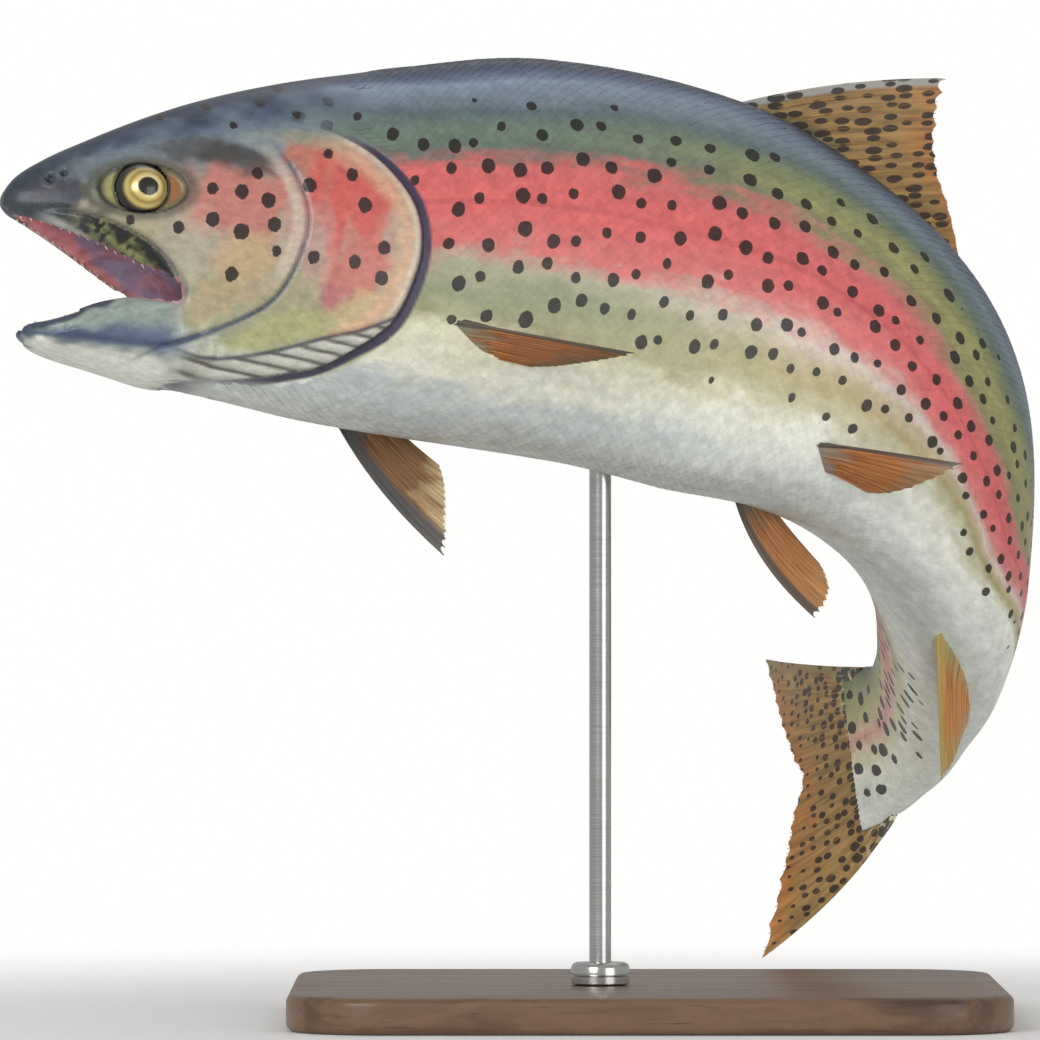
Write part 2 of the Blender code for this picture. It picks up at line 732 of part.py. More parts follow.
make_head()
make_plates()
make_lower_jaw()
make_tongue()
for eye_side in (-1, 1):
    eyeball(eye_side, 0.0, f"eye_{side_name(eye_side)}")
make_trunk()
make_fins()
make_stand()
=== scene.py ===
# %% [markdown]
# # A life-size rainbow trout, modelled and painted like a museum fish
#
# A taxidermist's trout has a solid form inside, a skin over it with a low relief of scales, fins whose
# rays show through a thin web, glass eyes, and many thin layers of paint. This lesson makes those outer
# layers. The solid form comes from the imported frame. Every layer is first made on a *straight* fish, in
# millimetres: x runs from the snout to the tail, y to the right side and z to the back. One function,
# `posed`, then bends it to the leaping pose, so nothing has to be fitted by hand on the bent body.

import math
from contextlib import contextmanager

import bmesh
import bpy
import numpy as np
from mathutils import Matrix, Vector
from mathutils.bvhtree import BVHTree


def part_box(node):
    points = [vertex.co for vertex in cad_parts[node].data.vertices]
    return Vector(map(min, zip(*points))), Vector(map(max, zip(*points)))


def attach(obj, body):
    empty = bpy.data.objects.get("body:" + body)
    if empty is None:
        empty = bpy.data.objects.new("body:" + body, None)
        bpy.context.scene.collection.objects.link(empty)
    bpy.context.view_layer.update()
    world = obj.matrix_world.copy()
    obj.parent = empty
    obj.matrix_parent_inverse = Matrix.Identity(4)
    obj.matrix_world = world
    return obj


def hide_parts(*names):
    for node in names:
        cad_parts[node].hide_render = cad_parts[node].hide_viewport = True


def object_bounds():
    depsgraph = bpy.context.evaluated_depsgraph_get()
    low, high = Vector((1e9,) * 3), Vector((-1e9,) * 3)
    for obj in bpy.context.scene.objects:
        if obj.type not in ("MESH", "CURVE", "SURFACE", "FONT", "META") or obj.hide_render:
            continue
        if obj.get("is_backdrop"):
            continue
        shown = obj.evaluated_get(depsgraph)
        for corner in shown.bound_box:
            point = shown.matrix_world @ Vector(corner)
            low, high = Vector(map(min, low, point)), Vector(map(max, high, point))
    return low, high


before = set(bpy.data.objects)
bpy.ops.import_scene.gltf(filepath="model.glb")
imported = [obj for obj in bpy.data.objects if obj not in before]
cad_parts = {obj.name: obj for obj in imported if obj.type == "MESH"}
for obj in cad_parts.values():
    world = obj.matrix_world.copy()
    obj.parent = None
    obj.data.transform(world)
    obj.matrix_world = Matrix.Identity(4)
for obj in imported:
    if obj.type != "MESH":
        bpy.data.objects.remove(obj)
CAD_BOX = [list(corner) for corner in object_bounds()]
MM = 0.001
print("frame nodes:", len(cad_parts), "box in mm:", [[round(v / MM) for v in c] for c in CAD_BOX])

# %% [markdown]
# ## The straight fish and its bend
#
# A trout's body is a row of cross-sections whose height, depth and width change smoothly from snout to
# tail. A spline through a few named stations gives them, and it only rises or falls where the stations
# do, so the outline never ripples. The bend is a spine that is stepped along in small turns: to the
# right, down and in roll. These are the same stations and turns that the solid form has, so the layers
# land on it.

# %% Smooth profiles
STANDARD_LENGTH = 440.0  # snout to the end of the tail stock
BODY = (  # x, height of the back, depth of the belly, half width
    (0.0, 1.5, 3.0, 2.6), (2.5, 5.6, 4.6, 5.4), (10.0, 11.8, 6.6, 9.6), (22.0, 19.0, 12.4, 14.2),
    (36.0, 26.6, 22.0, 18.0), (46.0, 31.4, 28.5, 20.6), (48.0, 32.3, 46.3, 21.2), (66.0, 39.2, 48.3, 25.4),
    (88.0, 45.8, 49.8, 28.4), (112.0, 51.0, 51.4, 28.6), (154.0, 55.6, 55.7, 29.4),
    (198.0, 55.4, 58.3, 29.7), (242.0, 50.2, 51.8, 28.8), (286.0, 42.4, 42.5, 27.0),
    (326.0, 32.0, 32.2, 23.2), (361.0, 25.0, 25.0, 16.5), (396.0, 20.3, 20.4, 10.2),
    (422.0, 20.2, 20.2, 6.6), (440.0, 22.4, 22.4, 4.2), (448.0, 23.6, 23.6, 2.4), (457.0, 24.6, 24.6, 0.9),
)
BACK_ROUNDNESS, BELLY_ROUNDNESS, JAW_WALL_ROUNDNESS = 2.1, 2.15, 3.0
JAW_WALL_END = 46.0
SKIN_ENDS = 456.0  # the flesh runs a little way onto the tail fin


def profile(knots, values):
    """A smooth curve through the points, which rises and falls only where they do."""
    x, v = np.array(knots, float), np.array(values, float)
    step, slope = np.diff(x), np.diff(v) / np.diff(x)
    tangent = np.zeros(len(x))
    same_way = slope[1:] * slope[:-1] > 0
    w1, w2 = 2 * step[1:] + step[:-1], step[1:] + 2 * step[:-1]
    safe = np.where(same_way, slope[1:], 1.0), np.where(same_way, slope[:-1], 1.0)
    tangent[1:-1] = np.where(same_way, (w1 + w2) / (w1 / safe[1] + w2 / safe[0]), 0.0)
    tangent[0], tangent[-1] = slope[0], slope[-1]

    def curve(t):
        t = np.clip(np.asarray(t, float), x[0], x[-1])
        i = np.clip(np.searchsorted(x, t, side="right") - 1, 0, len(x) - 2)
        h = step[i]
        u = (t - x[i]) / h
        start = v[i] * (1 + 2 * u) * (1 - u) ** 2 + tangent[i] * h * u * (1 - u) ** 2
        return start + v[i + 1] * u * u * (3 - 2 * u) + tangent[i + 1] * h * u * u * (u - 1)

    return curve


def column_profiles(rows):
    """One smooth profile for each column after the first, which is the place along x."""
    columns = np.array(rows, float).T
    return [profile(columns[0], column) for column in columns[1:]]


back_height, belly_depth, half_width = column_profiles(BODY)
print("deepest section:", round(float(back_height(180) + belly_depth(180))), "mm")

# %% The bend of the spine
SNOUT = (-174.0, -68.0, 224.0)
YAW, NOSE_UP, BANK = 18.0, 7.0, 11.0
SPINE = (  # share of the standard length, bend to the right, sag and roll, in degrees per body length
    (0.26, 0, -80, -10), (0.34, 20, 70, 20), (0.42, 45, 125, 40), (0.5, 80, 115, 15), (0.58, 180, 190, 5),
    (0.66, 260, 110, 200), (0.74, 185, -135, 360), (0.82, -40, -250, 210), (0.9, -30, -80, 0),
    (0.98, 245, -165, -195),
)
SPINE_STARTS, SPINE_ENDS = 0.18, 1.06
REACH, SPINE_STEPS = 1.2, 480  # how far the spine is computed, as a share of the standard length


def turn_about(vector):
    """The rotation about a vector by its length, in radians."""
    angle = np.linalg.norm(vector)
    if angle < 1e-12:
        return np.eye(3)
    x, y, z = vector / angle
    cross = np.array([[0, -z, y], [z, 0, -x], [-y, x, 0]])
    return np.eye(3) + math.sin(angle) * cross + (1 - math.cos(angle)) * cross @ cross


def spine_frames():
    """Places and axes along the spine: the axes' columns point to the tail, the right side and the back."""
    knots = [0.0, SPINE_STARTS, *(row[0] for row in SPINE), SPINE_ENDS, REACH + 0.1]
    bends = [profile(knots, [0, 0, *(row[k] for row in SPINE), 0, 0]) for k in (1, 2, 3)]
    step = REACH / SPINE_STEPS
    bank, nose_up, yaw = (turn_about(turn) for turn in np.diag(np.radians([-BANK, NOSE_UP, YAW])))
    places, frames = [np.array(SNOUT, float)], [yaw @ nose_up @ bank]
    for k in range(SPINE_STEPS):
        right, sag, roll = (bend((k + 0.5) * step) for bend in bends)
        turn = np.radians([-roll, sag, right]) * step
        places.append(places[-1] + (frames[-1] @ turn_about(turn / 2))[:, 0] * step * STANDARD_LENGTH)
        frames.append(frames[-1] @ turn_about(turn))
    return np.array(places), np.array(frames)


PLACES, FRAMES = spine_frames()


def frame_at(x):
    """The spine's place and axes at x, between the computed steps."""
    x = np.asarray(x, float)
    t = np.clip(x / STANDARD_LENGTH / REACH, 0, 1) * (len(PLACES) - 1)
    i = np.minimum(t.astype(int), len(PLACES) - 2)
    share = t - i
    place = PLACES[i] + (PLACES[i + 1] - PLACES[i]) * share[..., None]
    axes = FRAMES[i] + (FRAMES[i + 1] - FRAMES[i]) * share[..., None, None]
    ahead = np.minimum(x, 0)[..., None] * axes[..., :, 0]
    return place + ahead, axes


def posed(points):
    """Straight-fish points in millimetres, carried to their places in the display, in metres."""
    points = np.asarray(points, float)
    place, axes = frame_at(points[..., 0])
    moved = place + points[..., 1:2] * axes[..., :, 1] + points[..., 2:3] * axes[..., :, 2]
    return moved * MM


print("tail end in mm:", [round(v / MM) for v in posed([STANDARD_LENGTH, 0, 0])])

# %% [markdown]
# ## The camera
#
# The fish is seen from its left side, square on and from a long way off, with a long lens, so that
# nothing near the camera looks swollen. The camera stands level, a little above the floor.

# %% Place the camera
CAMERA_PLACE = (-0.035, -2.668, 0.1375)
SENSOR_WIDTH = 36.0
VIEW_WIDTH_AT_ONE_METRE = 0.10733  # how much the camera takes in, one metre away

camera_data = bpy.data.cameras.new("camera")
camera_data.sensor_width = SENSOR_WIDTH
camera_data.lens = SENSOR_WIDTH / VIEW_WIDTH_AT_ONE_METRE
camera_data.clip_start, camera_data.clip_end = 0.1, 100.0
camera = bpy.data.objects.new("camera", camera_data)
camera.location = CAMERA_PLACE
camera.rotation_euler = (math.radians(90), 0, 0)
bpy.context.scene.collection.objects.link(camera)
bpy.context.scene.camera = camera
print("lens:", round(camera_data.lens), "mm")

# %% [markdown]
# ## Small helpers
#
# Both materials and Geometry Nodes are trees of nodes whose sockets are joined. Adding a node, setting it
# and joining it always takes the same three steps, so one helper does them. A `Wire` is a node's output
# that can be used in plain arithmetic, so that a mask reads like the formula it is. The others name the
# shader steps that come back in every finish: a soft threshold, a mix of two colours, a ramp, a stretched
# noise and a bump. The mesh helpers below them make, open, shade, read and write meshes.

# %% Node helpers
def socket_of(sockets, key):
    """The socket with that identifier, or else with that name."""
    return next((s for s in sockets if s.identifier == key), None) or sockets[key]


class Wire:
    """One output of a node. Plain arithmetic with it adds Math nodes to the node's tree."""

    def __init__(self, node, key=0):
        self.tree, self.socket = node.id_data, socket_of(node.outputs, key)

    def __add__(self, other):
        return calc("ADD", self, other)

    def __sub__(self, other):
        return calc("SUBTRACT", self, other)

    def __rsub__(self, other):
        return calc("SUBTRACT", other, self)

    def __mul__(self, other):
        return calc("MULTIPLY", self, other)

    def __truediv__(self, other):
        return calc("DIVIDE", self, other)


def join(socket, value):
    """Joins a wire to an input, or sets the input to a plain value."""
    if isinstance(value, Wire):
        value.tree.links.new(value.socket, socket)
    else:
        socket.default_value = value


def put(tree, kind, inputs=None, **settings):
    """Adds a node with its settings, and sets or joins its inputs."""
    node = tree.nodes.new(kind)
    for key, value in settings.items():
        setattr(node, key, value)
    for key, value in (inputs or {}).items():
        join(socket_of(node.inputs, key), value)
    return node


def calc(operation, first, second=0.0):
    """A Math node's result."""
    tree = first.tree if isinstance(first, Wire) else second.tree
    return Wire(put(tree, "ShaderNodeMath", {0: first, 1: second}, operation=operation))


def vector_math(operation, first, second):
    """A Vector Math node's result; SCALE takes a number as its second value."""
    inputs = {0: first, "Scale" if operation == "SCALE" else 1: second}
    return Wire(put(first.tree, "ShaderNodeVectorMath", inputs, operation=operation))


def parts(value, kind="XYZ"):
    """The three parts of a vector, or of a colour if the kind is Color."""
    node = put(value.tree, f"ShaderNodeSeparate{kind}", {0: value})
    return [Wire(node, k) for k in range(3)]


def remap(value, low, high, start=0.0, end=1.0, **settings):
    """A value that runs from start to end, made to run from low to high."""
    inputs = {"Value": value, "From Min": start, "From Max": end, "To Min": low, "To Max": high}
    return Wire(put(value.tree, "ShaderNodeMapRange", inputs, **settings), "Result")


def soft_step(value, start, end):
    """A mask that goes smoothly from 0 at start to 1 at end."""
    return remap(value, 0.0, 1.0, start, end, interpolation_type="SMOOTHSTEP")


def mix(share, first, second, way="MIX"):
    """Two colours mixed by a share; the first is a wire."""
    inputs = {"Factor_Float": share, "A_Color": first, "B_Color": second}
    return Wire(put(first.tree, "ShaderNodeMix", inputs, data_type="RGBA", blend_type=way), "Result_Color")


def ramp(value, stops):
    """A colour ramp from a list of (place, colour)."""
    node = put(value.tree, "ShaderNodeValToRGB", {"Fac": value})
    elements = node.color_ramp.elements
    while len(elements) < len(stops):
        elements.new(1.0)
    for element, (place, colour) in zip(elements, stops):
        element.position = place
        element.color = (*colour, 1)
    return Wire(node, "Color")


def stretch(vector, scale):
    """A vector multiplied by three numbers."""
    return vector_math("MULTIPLY", vector, scale)


def noise(vector, scale=1.0, detail=3.0, roughness=0.55, give="Fac"):
    """A noise value from 0 to 1, centred on one half, or a noise Color."""
    inputs = {"Vector": vector, "Scale": scale, "Detail": detail, "Roughness": roughness}
    return Wire(put(vector.tree, "ShaderNodeTexNoise", inputs), give)


def bump(height, strength, distance):
    """The surface direction tilted by a height, whose full range is a distance in metres."""
    inputs = {"Strength": strength, "Distance": distance, "Height": height}
    return Wire(put(height.tree, "ShaderNodeBump", inputs), "Normal")


def attribute(tree, name, output="Vector"):
    """A value stored on the mesh."""
    return Wire(put(tree, "ShaderNodeAttribute", attribute_name=name), output)


def object_place(tree):
    """The place on the object, in metres."""
    return Wire(put(tree, "ShaderNodeTexCoord"), "Object")


def new_material(name):
    """A material with an empty Principled shader, as (material, tree, shader)."""
    material = bpy.data.materials.new(name)
    material.use_nodes = True
    return material, material.node_tree, material.node_tree.nodes["Principled BSDF"]


def set_inputs(node, **values):
    """Sets or joins a node's inputs; a name's underscores stand for spaces."""
    for key, value in values.items():
        join(node.inputs[key.replace("_", " ")], value)


def new_group(name, inputs, outputs, kind="ShaderNodeTree"):
    """A node group with named sockets, as (group, wires from its inputs, its output node's sockets)."""
    group = bpy.data.node_groups.new(name, kind)
    for sockets, way in ((inputs, "INPUT"), (outputs, "OUTPUT")):
        for socket, type_name in sockets.items():
            group.interface.new_socket(socket, in_out=way, socket_type=f"NodeSocket{type_name}")
    start, end = group.nodes.new("NodeGroupInput"), group.nodes.new("NodeGroupOutput")
    return group, [Wire(start, socket) for socket in inputs], end.inputs


def use_group(tree, group, **inputs):
    """Places a group in a material and joins its inputs; it returns the node."""
    node = put(tree, "ShaderNodeGroup", node_tree=group)
    set_inputs(node, **inputs)
    return node


def grow(obj, group, **inputs):
    """Runs a Geometry Nodes group on an object and returns the result as a plain mesh."""
    step = add_modifier(obj, "NODES", node_group=group)
    for item in group.interface.items_tree:
        if item.name.replace(" ", "_") in inputs:
            step[item.identifier] = inputs[item.name.replace(" ", "_")]
    return evaluated_mesh(obj)


print("node helpers ready")

# %% Mesh helpers
STORED = {1: ("FLOAT", "value"), 3: ("FLOAT_VECTOR", "vector"), 4: ("FLOAT_COLOR", "color")}


def unit(vectors):
    """Vectors of length 1."""
    return vectors / np.linalg.norm(vectors, axis=-1, keepdims=True)


def place_mesh(name, mesh):
    """An object for a mesh, in the scene."""
    obj = bpy.data.objects.new(name, mesh)
    bpy.context.scene.collection.objects.link(obj)
    return obj


def new_mesh(name, points, faces=(), edges=()):
    """A mesh from an array of points and lists of faces and edges."""
    mesh = bpy.data.meshes.new(name)
    mesh.from_pydata(np.asarray(points, float).tolist(), edges, faces)
    return mesh


@contextmanager
def shaping(mesh):
    """Opens a mesh in BMesh and writes it back at the end."""
    work = bmesh.new()
    work.from_mesh(mesh)
    yield work
    work.to_mesh(mesh)
    work.free()


def face_outwards(obj):
    """Turns every face of a closed form outwards."""
    with shaping(obj.data) as work:
        bmesh.ops.recalc_face_normals(work, faces=work.faces)
    return obj


def shade(mesh, sharpest):
    """Smooth shading, with edges sharper than an angle in degrees left sharp."""
    mesh.shade_smooth()
    mesh.set_sharp_from_angle(angle=math.radians(sharpest))


def ring_faces(rows, sides, first=0):
    """The faces between rows of points that each go round, numbered from a first point."""
    faces = []
    for a in range(first, first + (rows - 1) * sides, sides):
        for b, c in ((k, (k + 1) % sides) for k in range(sides)):
            faces.append((a + b, a + sides + b, a + sides + c, a + c))
    return faces


def loft(name, rings):
    """A closed form through rings of the same number of points."""
    count, sides = len(rings), len(rings[0])
    caps = [tuple(range(sides)), tuple((count - 1) * sides + k for k in reversed(range(sides)))]
    faces = caps + ring_faces(count, sides)
    return face_outwards(place_mesh(name, new_mesh(name, np.reshape(rings, (-1, 3)), faces)))


def add_modifier(obj, kind, **settings):
    """A modifier with its settings."""
    step = obj.modifiers.new(kind.lower(), kind)
    for key, value in settings.items():
        setattr(step, key, value)
    return step


def evaluated_mesh(obj):
    """The object's mesh with its modifiers worked in; the modifiers are then removed."""
    mesh = bpy.data.meshes.new_from_object(obj.evaluated_get(bpy.context.evaluated_depsgraph_get()))
    obj.modifiers.clear()
    return mesh


def read(items, field):
    """A vector of each item, as the rows of an array."""
    values = np.zeros(len(items) * 3, np.float32)
    items.foreach_get(field, values)
    return values.reshape(-1, 3).astype(float)


def points_of(mesh):
    """A mesh's points as an array."""
    return read(mesh.vertices, "co")


def move_points(mesh, points):
    """Puts a mesh's points in new places."""
    mesh.vertices.foreach_set("co", np.asarray(points, np.float32).ravel())
    mesh.update()


def store(mesh, name, values):
    """Stores a number, a vector or a colour for each point."""
    values = np.asarray(values, np.float32)
    kind, field = STORED[values.size // len(mesh.vertices)]
    mesh.attributes.new(name, kind, "POINT").data.foreach_set(field, values.ravel())


print("helpers ready")

# %% [markdown]
# ## The room
#
# The model stands on a plain pale floor under soft studio light. A large floor that simply ended would
# draw a horizon across the view, so its finish fades to clear with distance and the pale surroundings
# take over. A big soft lamp high in front on the left models the form, a weaker one low in front on the
# right fills the shade, and a faint one behind lights the edge of the back.

# %% Floor, surroundings and lamps
FLOOR_RADIUS = 8.0
FLOOR_FADES = (0.11, 0.5)
WORLD_LIGHT = 0.45  # how bright the surroundings are as a light; they are seen at full strength
LAMP_TARGET = (0, 0, 0.15)
PALE = (0.96, 0.955, 0.945)
LAMPS = (  # name, place, size, power
    ("key_lamp", (-1.3, -2.4, 1.15), 1.3, 30.0), ("back_lamp", (0.3, 0.9, 1.9), 1.6, 4.0),
    ("fill_lamp", (1.7, -2.1, 0.35), 1.6, 16.0),
)


def make_floor():
    """A round pale floor that fades out."""
    mesh = bpy.data.meshes.new("floor")
    with shaping(mesh) as work:
        bmesh.ops.create_circle(work, cap_ends=True, segments=96, radius=FLOOR_RADIUS)
    material, tree, shader = new_material("floor_paper")
    set_inputs(shader, Base_Color=(*PALE, 1), Roughness=0.9, Specular_IOR_Level=0.1)
    distance = put(tree, "ShaderNodeVectorMath", {0: object_place(tree)}, operation="LENGTH")
    fade = soft_step(Wire(distance, "Value"), *FLOOR_FADES)
    clear = put(tree, "ShaderNodeBsdfTransparent")
    blend = put(tree, "ShaderNodeMixShader", {0: fade, 1: Wire(shader), 2: Wire(clear)})
    join(tree.nodes["Material Output"].inputs["Surface"], Wire(blend))
    mesh.materials.append(material)
    place_mesh("floor", mesh)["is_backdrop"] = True


def make_surroundings():
    """Near-white surroundings, dimmer as a light than as they are seen."""
    world = bpy.data.worlds.new("surroundings")
    world.use_nodes = True
    seen = Wire(put(world.node_tree, "ShaderNodeLightPath"), "Is Camera Ray")
    background = world.node_tree.nodes["Background"]
    set_inputs(background, Color=(1.0, 0.995, 0.985, 1), Strength=remap(seen, WORLD_LIGHT, 1.0))
    bpy.context.scene.world = world


def make_lamp(name, place, size, power):
    """A square soft lamp that points at the fish."""
    data = bpy.data.lights.new(name, "AREA")
    data.size, data.energy = size, power
    lamp = place_mesh(name, data)
    lamp.location = place
    x, y, z = unit(np.array(LAMP_TARGET) - place)
    lamp.rotation_euler = (math.acos(-z), 0.0, math.atan2(y, x) - math.pi / 2)


make_floor()
make_surroundings()
for lamp_facts in LAMPS:
    make_lamp(*lamp_facts)
bpy.context.scene.view_settings.view_transform = "Standard"  # paint shows in its own colours
print("lamps:", len(LAMPS))

# %% [markdown]
# ## The skin: one soft form with no seams
#
# A fish's skin runs unbroken from the lips over the head and the trunk to the tail. Modelling it as one
# mesh by hand is slow, so it is built as a sculptor would: rough forms are joined and carved (the body,
# the dropped lower jaw, the hollow of the mouth, the eye sockets), a voxel remesh turns them into one
# even sheet, and smoothing takes the tool marks out. The sheet is then laid back exactly on the body's
# curves. It lies a third of a millimetre deep, which leaves room for the scales.

# %% Rough forms of the head and body
LOWER_JAW = (  # x, height of its rim, height of its underside, half width
    (7.2, -34.8, -37.6, 2.6), (8.6, -34.2, -38.9, 5.4), (12.0, -33.6, -40.3, 9.2),
    (19.0, -31.0, -42.0, 13.4), (27.0, -26.6, -43.4, 15.6), (36.0, -22.6, -44.9, 17.0),
    (45.8, -21.6, -46.2, 18.0), (58.0, -22.0, -45.5, 17.0),
)
MOUTH = (  # x, roof, floor, half width
    (-3.0, -12.0, -28.0, 1.5), (4.4, -4.4, -34.0, 3.4), (9.0, -2.6, -37.0, 5.8), (20.0, -1.0, -39.2, 9.6),
    (33.0, -3.0, -40.0, 13.4), (45.0, -10.0, -38.5, 15.6), (56.0, -19.0, -34.0, 13.0),
    (62.0, -24.0, -29.0, 6.0),
)
MOUTH_ROUNDNESS, JAW_ROUNDNESS = 2.4, (3.0, 2.0)  # the jaw's at its rim and at its underside
EYE_CENTRE = (35.0, 12.2, 3.4)  # of the right eye; the left one mirrors it
EYE_RADIUS = 7.6
COAT_DEPTH = 0.35
VOXEL = 0.7
SKIN_TRIANGLES = 185000

jaw_rim, jaw_underside, jaw_width = column_profiles(LOWER_JAW)
mouth_roof, mouth_floor, mouth_width = column_profiles(MOUTH)


def power(value, exponent):
    """A signed power, which makes an ellipse fuller."""
    return np.sign(value) * np.abs(value) ** exponent


def smooth(start, end, value):
    """A soft step from 0 at start to 1 at end."""
    t = np.clip((value - start) / (end - start), 0, 1)
    return t * t * (3 - 2 * t)


def lower_roundness(x):
    """The superellipse power under the middle, where the upper jaw is steeper than the belly."""
    return np.where(x < JAW_WALL_END, JAW_WALL_ROUNDNESS, BELLY_ROUNDNESS)


def section(x, middle, above, below, half, upper_power, lower_power, sides):
    """A closed ring across the fish: it starts at the back and turns to the left."""
    angle = np.arange(sides) * 2 * math.pi / sides
    c, s = np.cos(angle), np.sin(angle)
    exponent = 2 / np.where(c >= 0, upper_power, lower_power)
    z = middle + np.where(c >= 0, above, below) * power(c, exponent)
    return np.stack([np.full(sides, float(x)), -half * power(s, exponent), z], axis=1)


def rim_section(x, top, bottom, half, upper_power, lower_power, sides):
    """A ring between two heights."""
    middle, tall = (top + bottom) / 2, abs(top - bottom) / 2
    return section(x, middle, tall, tall, half, upper_power, lower_power, sides)


def rough_forms(sides=96):
    """The body, and the forms to join to it and to carve from it, in straight millimetres."""
    spacing = np.concatenate([np.linspace(0, 6, 9), np.arange(7, 45, 1.5), np.arange(45, 50, 0.5),
                              np.arange(52, SKIN_ENDS, 2.5), [SKIN_ENDS]])
    body = loft("skin_form", [
        section(x, 0, *(f(x) - COAT_DEPTH for f in (back_height, belly_depth, half_width)),
                BACK_ROUNDNESS, lower_roundness(x), sides) for x in spacing])
    jaw = loft("jaw_form", [
        rim_section(x, jaw_rim(x), jaw_underside(x), jaw_width(x), *JAW_ROUNDNESS, sides)
        for x in np.concatenate([[7.2, 7.6, 8.2], np.arange(9, 58, 1.5)])])
    mouth = loft("mouth_form", [
        rim_section(x, mouth_roof(x), mouth_floor(x), mouth_width(x), *[MOUTH_ROUNDNESS] * 2, sides)
        for x in np.arange(-3, 62.1, 1.25)])
    hollows = [mouth]
    x, y, z = EYE_CENTRE
    for side in (-1, 1):
        mesh = bpy.data.meshes.new("socket_form")
        with shaping(mesh) as work:
            bmesh.ops.create_uvsphere(work, u_segments=48, v_segments=24, radius=EYE_RADIUS + 0.1)
        mesh.transform(Matrix.Translation((x, side * y, z)))
        hollows.append(place_mesh("socket_form", mesh))
    return body, jaw, hollows


def carve_skin():
    """One even sheet over the joined and carved forms, still straight."""
    body, jaw, hollows = rough_forms()
    add_modifier(body, "BOOLEAN", operation="UNION", object=jaw, solver="MANIFOLD")
    for hollow in hollows:
        add_modifier(body, "BOOLEAN", operation="DIFFERENCE", object=hollow, solver="MANIFOLD")
    add_modifier(body, "REMESH", mode="VOXEL", voxel_size=VOXEL)
    add_modifier(body, "SMOOTH", factor=0.5, iterations=4)
    sheet = evaluated_mesh(body)
    for form in (body, jaw, *hollows):
        bpy.data.objects.remove(form)
    return sheet


skin_mesh = carve_skin()
print("skin sheet:", len(skin_mesh.polygons), "faces")

# %% Lay the sheet on the body
def hump(centre, width, value):
    """A soft hump of height 1 round a centre, which has faded at one width from it."""
    return 1 - smooth(0, width, np.abs(value - centre))


def shell_share(points):
    """How far out each point lies: 1 on the body's own surface and less inside it."""
    x, y, z = points.T
    tall = np.where(z >= 0, back_height(x), belly_depth(x)) - COAT_DEPTH
    wide = half_width(x) - COAT_DEPTH
    n = np.where(z >= 0, BACK_ROUNDNESS, lower_roundness(x))
    return ((np.abs(y) / wide) ** n + (np.abs(z) / tall) ** n) ** (1 / n)


def lay_on_body(points):
    """Moves points that lie close to the body's surface exactly onto it."""
    share = shell_share(points)
    away = np.abs(share - 1) * np.hypot(points[:, 1], points[:, 2])
    weight = 1 - smooth(0.5, 1.1, away)
    cheek = smooth(-34, -30, points[:, 2])
    below = smooth(56 - 21 * cheek, 64 - 14 * cheek, points[:, 0])
    weight *= np.where(points[:, 2] < 0, below, smooth(1.5, 4, points[:, 0]))
    weight *= 1 - smooth(450, 454, points[:, 0])
    laid = points.copy()
    laid[:, 1:] *= (1 + weight * (1 / share - 1))[:, None]
    return laid


def soften_cheek(points, mesh, passes=45):
    """Rounds off the step from the cheek to the upper jaw: each point moves towards its neighbours."""
    ends = np.zeros(len(mesh.edges) * 2, np.int32)
    mesh.edges.foreach_get("vertices", ends)
    start, end = np.concatenate([ends, ends.reshape(-1, 2)[:, ::-1].ravel()]).reshape(-1, 2).T
    x, _, z = points.T
    share = smooth(42, 46, x) * (1 - smooth(54, 60, x)) * smooth(-38, -33, z) * (1 - smooth(-5, 1, z))
    share *= 1 - smooth(0.6, 1.4, np.abs(shell_share(points) - 1) * np.hypot(points[:, 1], z))
    count = np.bincount(start, minlength=len(points))
    for _ in range(passes):
        middle = [np.bincount(start, points[end, k], len(points)) / count for k in range(3)]
        points = points + 0.6 * share[:, None] * (np.stack(middle, axis=1) - points)
    return points


move_points(skin_mesh, soften_cheek(lay_on_body(points_of(skin_mesh)), skin_mesh))
print("skin laid on the body")

# %% [markdown]
# ## Relief of the head
#
# A trout's head has no scales, so its bones show through the thin skin: the free edge of the gill cover
# stands over a groove, the cheek bone ends in a crease, thin curved bones overlap like leaves under the
# gill cover, and a narrow plate hangs along the upper jaw. Each of these is drawn as a line in the side
# view. Every point of the sheet knows its signed distance from the line, and a short formula of that
# distance pushes it in or out.

# %% Lines of the head in the side view
HEAD_ENDS = 126.0
LINES = {  # smooth curves through points (x, z)
    "gill": (
        (72, 25), (82, 24.8), (88.3, 22.9), (95.8, 18.9), (103, 12.5), (107.8, 5.5), (109.6, -3),
        (108.3, -13), (103.1, -26), (93.8, -34.4), (86.7, -38.9), (78.7, -41.3), (66, -43.9), (50, -45.3),
    ),
    "cheek": (
        (63, 25), (68, 19), (74, 10), (77.5, 0), (76.5, -10), (71.5, -22), (63, -29), (49, -35.8),
        (38, -41),
    ),
    "under_cover": (
        (103.5, -25), (95, -29.2), (87.4, -31.6), (79.6, -34.4), (71.1, -37.2), (62, -39.2), (53, -40.1),
        (44, -38.5),
    ),
    "crease": ((81, 14), (84.6, 4), (86.2, -6), (85, -17), (80, -27)),
    "upper_jaw": (
        (5, -3.4), (18.4, -4.4), (26.2, -6.3), (34, -9.6), (40, -13.6), (44.5, -18.5), (46.6, -23.5),
        (45.6, -27), (41.5, -28.4),
    ),
    "second_plate": ((25, -8.6), (33, -12.8), (39.5, -17.6), (43.5, -22.5)),
    "jaw_bone": ((12, -37.6), (22, -38.2), (33, -38.6), (44, -38.4), (52, -35.2)),
    "brow": ((20, 5.5), (26, 10.5), (34, 13.2), (42, 14.2), (50, 12.5), (58, 10.5)),
}


